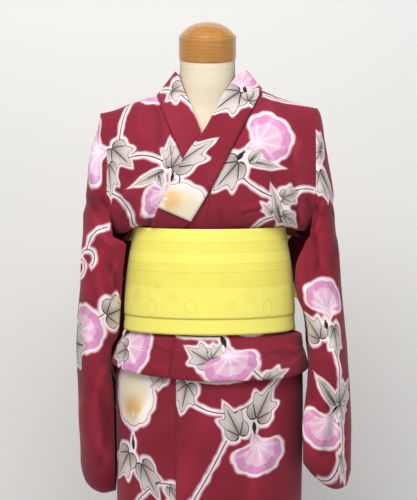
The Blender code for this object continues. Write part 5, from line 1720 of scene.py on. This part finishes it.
def cut_swatches(box, motifs, name):
    """Halves a box of flat cloth until few enough motifs reach each part for one material."""
    u0, v0, u1, v1 = box
    near = []
    for row in motifs:
        a0, b0, a1, b1 = motif_box(row)
        if a0 < u1 and a1 > u0 and b0 < v1 and b1 > v0:
            near.append(row)
    weight = sum({"stem": 0.02, "pink": 0.6, "yellow": 0.6}.get(row[0], 1.0) for row in near)
    if weight <= MOST_MOTIFS or max(u1 - u0, v1 - v0) < SMALLEST_SWATCH:
        return [(u0, v0, u1, v1, printed_cotton(name, near))]
    if u1 - u0 > v1 - v0:
        middle = 0.5 * (u0 + u1)
        halves = (u0, v0, middle, v1), (middle, v0, u1, v1)
    else:
        middle = 0.5 * (v0 + v1)
        halves = (u0, v0, u1, middle), (u0, middle, u1, v1)
    return cut_swatches(halves[0], near, name) + cut_swatches(halves[1], near, name)


def robe_cloth(name, grid, flat, weld=0.0):
    """A piece of the robe with its creases, cut from cotton that is printed where it shows."""
    FLAT[name] = (grid, flat)
    motifs = placed(name, BACK_PRINT.get(name, ()), True) + placed(name, FRONT_PRINT.get(name, ()))
    motifs += placed(name + ", under leg", FRONT_PRINT.get(name + ", under leg", ()))
    low, high = flat.min(axis=(0, 1)), flat.max(axis=(0, 1))
    spare = 0.01
    box = (low[0] - spare, low[1] - spare, high[0] + spare, high[1] + spare)
    finish = cut_swatches([float(edge) for edge in box], motifs, name)
    cloth(name, grid, flat, finish, creased(name, grid), weld=weld)


def build_robe():
    for side, word in ((1, "left"), (-1, "right")):
        grid = body_grid(side)
        robe_cloth("body " + word, grid, lay_flat(grid, 0, 0.75))
        grid = okumi_grid(side)
        robe_cloth("okumi " + word, grid, lay_flat(grid, 0, 0.75))
        grid = sleeve_grid(side)
        robe_cloth("sleeve " + word, grid, lay_flat(grid, grid.shape[1] // 2, 0.55), weld=WELD)

    def fixed(angle):
        return lambda z: angle

    def over(angle):
        return OVER_SKIRT

    def under(angle):
        return 0.0

    def back(angle):
        return OVER_SKIRT * smooth((270.0 - angle) / 180.0)

    for name, start, end, offset in (
        ("skirt okumi left", fixed(OVER_SKIRT_TURN), skirt_seam_angle, over),
        ("skirt front left", skirt_seam_angle, fixed(90.0), over),
        ("skirt back left", fixed(90.0), fixed(180.0), back),
        ("skirt back right", fixed(180.0), fixed(270.0), back),
        ("skirt front right", fixed(-90.0), fixed(UNDER_SKIRT_SEAM), under),
        ("skirt okumi right", fixed(UNDER_SKIRT_SEAM), fixed(UNDER_SKIRT_TURN), under),
    ):
        grid = skirt_grid(start, end, offset)
        robe_cloth(name, grid, lay_flat(grid, 0, HEM_Z))

    rows = collar_stations()
    grid = collar_grid(rows, 0.0)
    robe_cloth("collar band", grid, lay_strip(grid))
    covered = []
    for kind, side, value in rows:
        low = COVER_LOW_OVER if side > 0 else COVER_LOW_UNDER
        if kind == "neck" or value[0] > low - 1e-6:
            covered.append((kind, side, value))
    grid = collar_grid(covered, COVER_RISE)
    robe_cloth("over collar", grid, lay_strip(grid))


# ---- the obi and its bow -----------------------------------------------------------------------
OBI_CLOTH = 0.001            # thickness of the obi's weave
OBI_TURN_SEAT = 0.0007       # the shown turns are thinner than their solids, so the second lies closer
OBI_HEM = 0.012              # over this width the second turn's lower edge bends down
OBI_HEM_DOWN = 0.0004        # by this much
BOW_START_V = 0.93           # where the weave's chart begins on the wings and the tail
KNOT_START_V = 0.9           # and on the knot


def smooth_array(share):
    share = np.clip(share, 0.0, 1.0)
    return share * share * (3.0 - 2.0 * share)


def obi_cloth(name, grid, flat, weave, push, weld=0.0):
    cloth(name, grid, flat, weave, push, thickness=OBI_CLOTH, weld=weld)


def build_obi():
    weave = woven_obi("turns")
    for name, low, rise in (
        ("obi first turn", OBI_FIRST_LOW, 0.0),
        ("obi second turn", OBI_SECOND_LOW, OBI_TURN_RISE - OBI_TURN_SEAT),
    ):
        grid = []
        for z in spaced(low, low + OBI_WIDTH, 0.0043):
            row = []
            for angle in spaced(-175.0, 175.0, 2.0):
                off = lerp(OBI_FRONT, OBI_BACK, smooth((abs(angle) - 70.0) / 110.0)) + rise
                row.append(tuple(tube_point(angle, z, off)))
            grid.append(row)
        grid = np.array(grid)
        front = np.clip(0.5 - 2.0 * facing(grid)[..., 1], 0.0, 1.0)
        push = crease_push(grid[..., 0], grid[..., 2], OBI_CREASES) * front
        if rise:
            push = push - OBI_HEM_DOWN * smooth_array((low + OBI_HEM - grid[..., 2]) / OBI_HEM)
        obi_cloth(name, grid, lay_flat(grid, grid.shape[1] // 2, low), weave, push)

    weave = woven_obi("bow", 0.02)
    for side, word in ((1, "left"), (-1, "right")):
        grid, pleats = wing_grid(side)
        obi_cloth("obi wing " + word, grid, lay_flat(grid, 0, BOW_START_V), weave, pleats)
    grid, pleats = knot_grid()
    obi_cloth("obi knot", grid, lay_flat(grid, 0, KNOT_START_V), weave, pleats, weld=WELD)
    grid, pleats = tail_grid()
    obi_cloth("obi tail", grid, lay_flat(grid, 0, BOW_START_V), weave, pleats)


def wing_grid(side):
    """A loop of the bow, its pleats gathered at the knot and opening towards the tip."""
    root = 0.5 * KNOT_SIZE[0] + 0.0004
    middle_y = 0.5 * (WING_INNER_Y + WING_OUTER_Y)
    half_y = 0.5 * (WING_OUTER_Y - WING_INNER_Y)
    grid, pleats = [], []
    for across in spaced(0.0, 1.0, 1.0 / 34.0):
        row, push = [], []
        for s in spaced(0.0, 1.0, 1.0 / 84.0):
            turn = math.pi * (s if side > 0 else 1.0 - s)
            reach = 1.0 - abs(math.cos(turn)) ** 3.0
            x = lerp(root, WING_SPAN if side > 0 else WING_SPAN_RIGHT, reach)
            y = middle_y - half_y * math.cos(turn) * (1.0 + 0.9 * math.sin(turn))
            height = lerp(WING_ROOT_HEIGHT, WING_TIP_HEIGHT, smooth(reach * 1.25))
            z = KNOT_Z + 0.006 - WING_DROOP * reach ** 2 + height * (across - 0.5)
            row.append((side * x, y, z))
            wave = math.sin(math.pi * (5.0 * across + 0.4 * side))
            wave += 0.4 * math.sin(math.pi * 11.0 * across + side)
            inside = min(1.0, 6.0 * min(across, 1.0 - across) + 0.2)
            push.append(0.0014 * wave * (1.0 - reach) ** 1.5 * inside)
        grid.append(row)
        pleats.append(push)
    return np.array(grid), np.array(pleats)


def knot_grid():
    """A band wrapped once round the roots of the wings, with three soft pleats."""
    half_x, half_y, half_z = 0.5 * KNOT_SIZE[0], 0.5 * KNOT_SIZE[1], 0.5 * KNOT_SIZE[2]
    grid, pleats = [], []
    for turn in spaced(0.0, 360.0, 5.0):
        row, push = [], []
        for across in spaced(-1.0, 1.0, 1.0 / 16.0):
            c, s = math.cos(math.radians(turn)), math.sin(math.radians(turn))
            narrow = 1.0 - 0.06 * abs(s) ** 0.5
            y = KNOT_FRONT_Y + half_y + (half_y - 0.0015) * math.copysign(abs(c) ** 0.55, c)
            z = KNOT_Z + (half_z - 0.0015) * math.copysign(abs(s) ** 0.55, s)
            row.append((-across * half_x * narrow, y, z))
            outer = max(0.0, c)
            push.append(0.001 * outer * math.sin(3.4 * math.pi * across + 0.5))
        grid.append(row)
        pleats.append(push)
    return np.array(grid), np.array(pleats)


TAIL_TOP_HALF, TAIL_LOW_HALF = 0.016, 0.052  # half widths at the knot and at the free end
TAIL_LOW_Y = 0.137


def tail_grid():
    """The obi's end, gathered under the knot and opening downwards."""
    top = KNOT_Z - 0.5 * KNOT_SIZE[2] - 0.0005
    grid, pleats = [], []
    for share in spaced(1.0, 0.0, 1.0 / 40.0):
        row, push = [], []
        for across in spaced(1.0, -1.0, 1.0 / 20.0):
            half = lerp(TAIL_TOP_HALF, TAIL_LOW_HALF, smooth(share * 1.4))
            y = lerp(KNOT_FRONT_Y + 0.008, TAIL_LOW_Y, share)
            row.append((across * half, y, lerp(top, TAIL_LOW_Z, share)))
            push.append(0.0012 * (1.0 - 0.7 * share) * math.sin(3.6 * math.pi * across + 0.8))
        grid.append(row)
        pleats.append(push)
    return np.array(grid), np.array(pleats)


# ---- the form ----------------------------------------------------------------------------------
def rounded(name, rings, finish, node, crisp=50.0):
    """A closed surface through rings of points, smooth up to edges of crisp degrees."""
    obj, mesh, *_ = grid_piece(name, rings)
    welded(mesh, WELD, fill=True)
    mesh.update()
    mesh.shade_smooth()
    mesh.set_sharp_from_angle(angle=math.radians(crisp))
    mesh.materials.append(finish)
    enter(obj, node)


HIP_LEVELS = (FORM_BOTTOM_Z, 0.79, 0.84, 0.874, SKIRT_TOP_Z)
WAIST_IN, WAIST_Z, WAIST_SPREAD = 0.0016, 0.858, 0.03
LEAN_FROM_Z = 1.32           # over this height the form's rings lean with the neck
NECK_FROM_Z = 1.27           # and over this one they go aside with it


def build_form():
    hips = [(z, read(FIGURE, z, 1), read(FIGURE, z, 2), read(FIGURE, z, 3)) for z in HIP_LEVELS]
    rows = [(z, half - FORM_CLEAR, front - FORM_CLEAR, back - FORM_CLEAR) for z, half, front, back in hips]
    rows = np.array(rows + list(FORM_CHEST))
    places = np.array(spaced(FORM_BOTTOM_Z, NECK_TOP_Z, 0.006))
    rows = curve_through(rows[:, 0], rows, places)
    # a little narrower at the waist, so that the skirt and tuck have room
    rows[:, 1:] -= WAIST_IN * np.exp(-((rows[:, :1] - WAIST_Z) / WAIST_SPREAD) ** 2)
    rings = []
    for z, half, front, back in rows:
        lean = smooth((z - LEAN_FROM_Z) / (NECK_TOP_Z - LEAN_FROM_Z))
        ring = []
        for angle in spaced(0.0, 360.0, 4.0):
            turn = math.radians(angle)
            y = -(front if math.cos(turn) >= 0.0 else back) * math.cos(turn)
            high = z + lean * y * math.tan(math.radians(NECK_TILT))
            aside = NECK_X * smooth((high - NECK_FROM_Z) / 0.05)
            ring.append((half * math.sin(turn) + aside, y, high))
        rings.append(ring)
    rounded("linen_form", np.array(rings), linen_finish(), "form_torso")

    tilt = math.radians(NECK_TILT)
    rings = []
    for radius, high in CAP_PROFILE[::-1]:
        ring = []
        for angle in spaced(0.0, 360.0, 5.0):
            x, y = radius * math.sin(math.radians(angle)), -radius * math.cos(math.radians(angle))
            ring.append((x + NECK_X, y * math.cos(tilt) - high * math.sin(tilt),
                         NECK_TOP_Z + y * math.sin(tilt) + high * math.cos(tilt)))
        rings.append(ring)
    rounded("turned_cap", np.array(rings), wood_finish(), "form_neck_cap", 28.0)
    painted = stand_finish()
    for node in ("form_pole", "form_foot"):
        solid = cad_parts[node]
        solid.data.materials.clear()
        solid.data.materials.append(painted)


build_robe()
build_obi()
build_form()


# ---- floor, light and camera -------------------------------------------------------------------
CAMERA_PLACE = (-0.002, -3.9, 1.34)
CAMERA_DOWN = 4.58           # degrees under level
VIEW_ANGLE = 14.28           # degrees from the picture's top to its bottom


def build_studio():
    bpy.ops.mesh.primitive_grid_add(x_subdivisions=2, y_subdivisions=40, size=2.0)
    floor = bpy.context.object
    floor.name = "studio floor"
    # a floor that bends up into a wall
    near_y, wall_y, radius, half_size = -4.5, 0.75, 0.5, 4.0
    flat_run = wall_y - near_y - radius
    bend_run = 0.5 * math.pi * radius
    for vert in floor.data.vertices:
        run = (vert.co.y + 1.0) * half_size
        y, z = near_y + run, 0.0
        if run > flat_run:
            turn = 0.5 * math.pi * min(1.0, (run - flat_run) / bend_run)
            y = near_y + flat_run + radius * math.sin(turn)
            z = radius * (1.0 - math.cos(turn)) + max(0.0, run - flat_run - bend_run)
        vert.co = Vector((vert.co.x * half_size, y, z))
    floor.data.shade_smooth()
    finish, tree, shader = start_finish("white painted wall", 0.9)
    shader.inputs["Base Color"].default_value = tone("#f3f3f2")
    # clear from behind, so that the wall never hides the robe's back
    behind = add(tree, "NewGeometry").outputs["Backfacing"]
    clear = add(tree, "BsdfTransparent").outputs[0]
    seen = add(tree, "MixShader", i0=behind, i1=shader.outputs[0], i2=clear).outputs[0]
    output = next(node for node in tree.nodes if node.type == "OUTPUT_MATERIAL")
    tree.links.new(seen, output.inputs["Surface"])
    floor.data.materials.append(finish)

    world = bpy.data.worlds.new("studio air")
    world.use_nodes = True
    world.node_tree.nodes["Background"].inputs["Color"].default_value = tone("#f6f8fb")
    world.node_tree.nodes["Background"].inputs["Strength"].default_value = 0.36
    bpy.context.scene.world = world
    # name, place, what it points at, width, height, watts, colour
    for name, place, aim, width, height, power, colour in (
        ("window light", (-0.24, -1.35, 2.45), (0.0, 0.0, 1.2), 1.4, 0.9, 39.5, "#fffdfa"),
        ("fill light", (2.4, -2.6, 1.9), (0.0, 0.0, 1.1), 2.0, 2.0, 9.5, "#f6f8ff"),
    ):
        data = bpy.data.lights.new(name, "AREA")
        data.shape = "RECTANGLE"
        data.size, data.size_y = width, height
        data.energy = power
        data.color = tone(colour)[:3]
        lamp = bpy.data.objects.new(name, data)
        lamp.location = place
        lamp.rotation_euler = (Vector(aim) - Vector(place)).to_track_quat("-Z", "Y").to_euler()
        bpy.context.scene.collection.objects.link(lamp)

    lens = bpy.data.cameras.new("camera")
    lens.sensor_fit = "VERTICAL"
    lens.angle = math.radians(VIEW_ANGLE)
    camera = bpy.data.objects.new("camera", lens)
    camera.location = CAMERA_PLACE
    camera.rotation_euler = (math.radians(90.0 - CAMERA_DOWN), 0.0, 0.0)
    bpy.context.scene.collection.objects.link(camera)
    bpy.context.scene.camera = camera
    bpy.context.scene.view_settings.view_transform = "Standard"


build_studio()
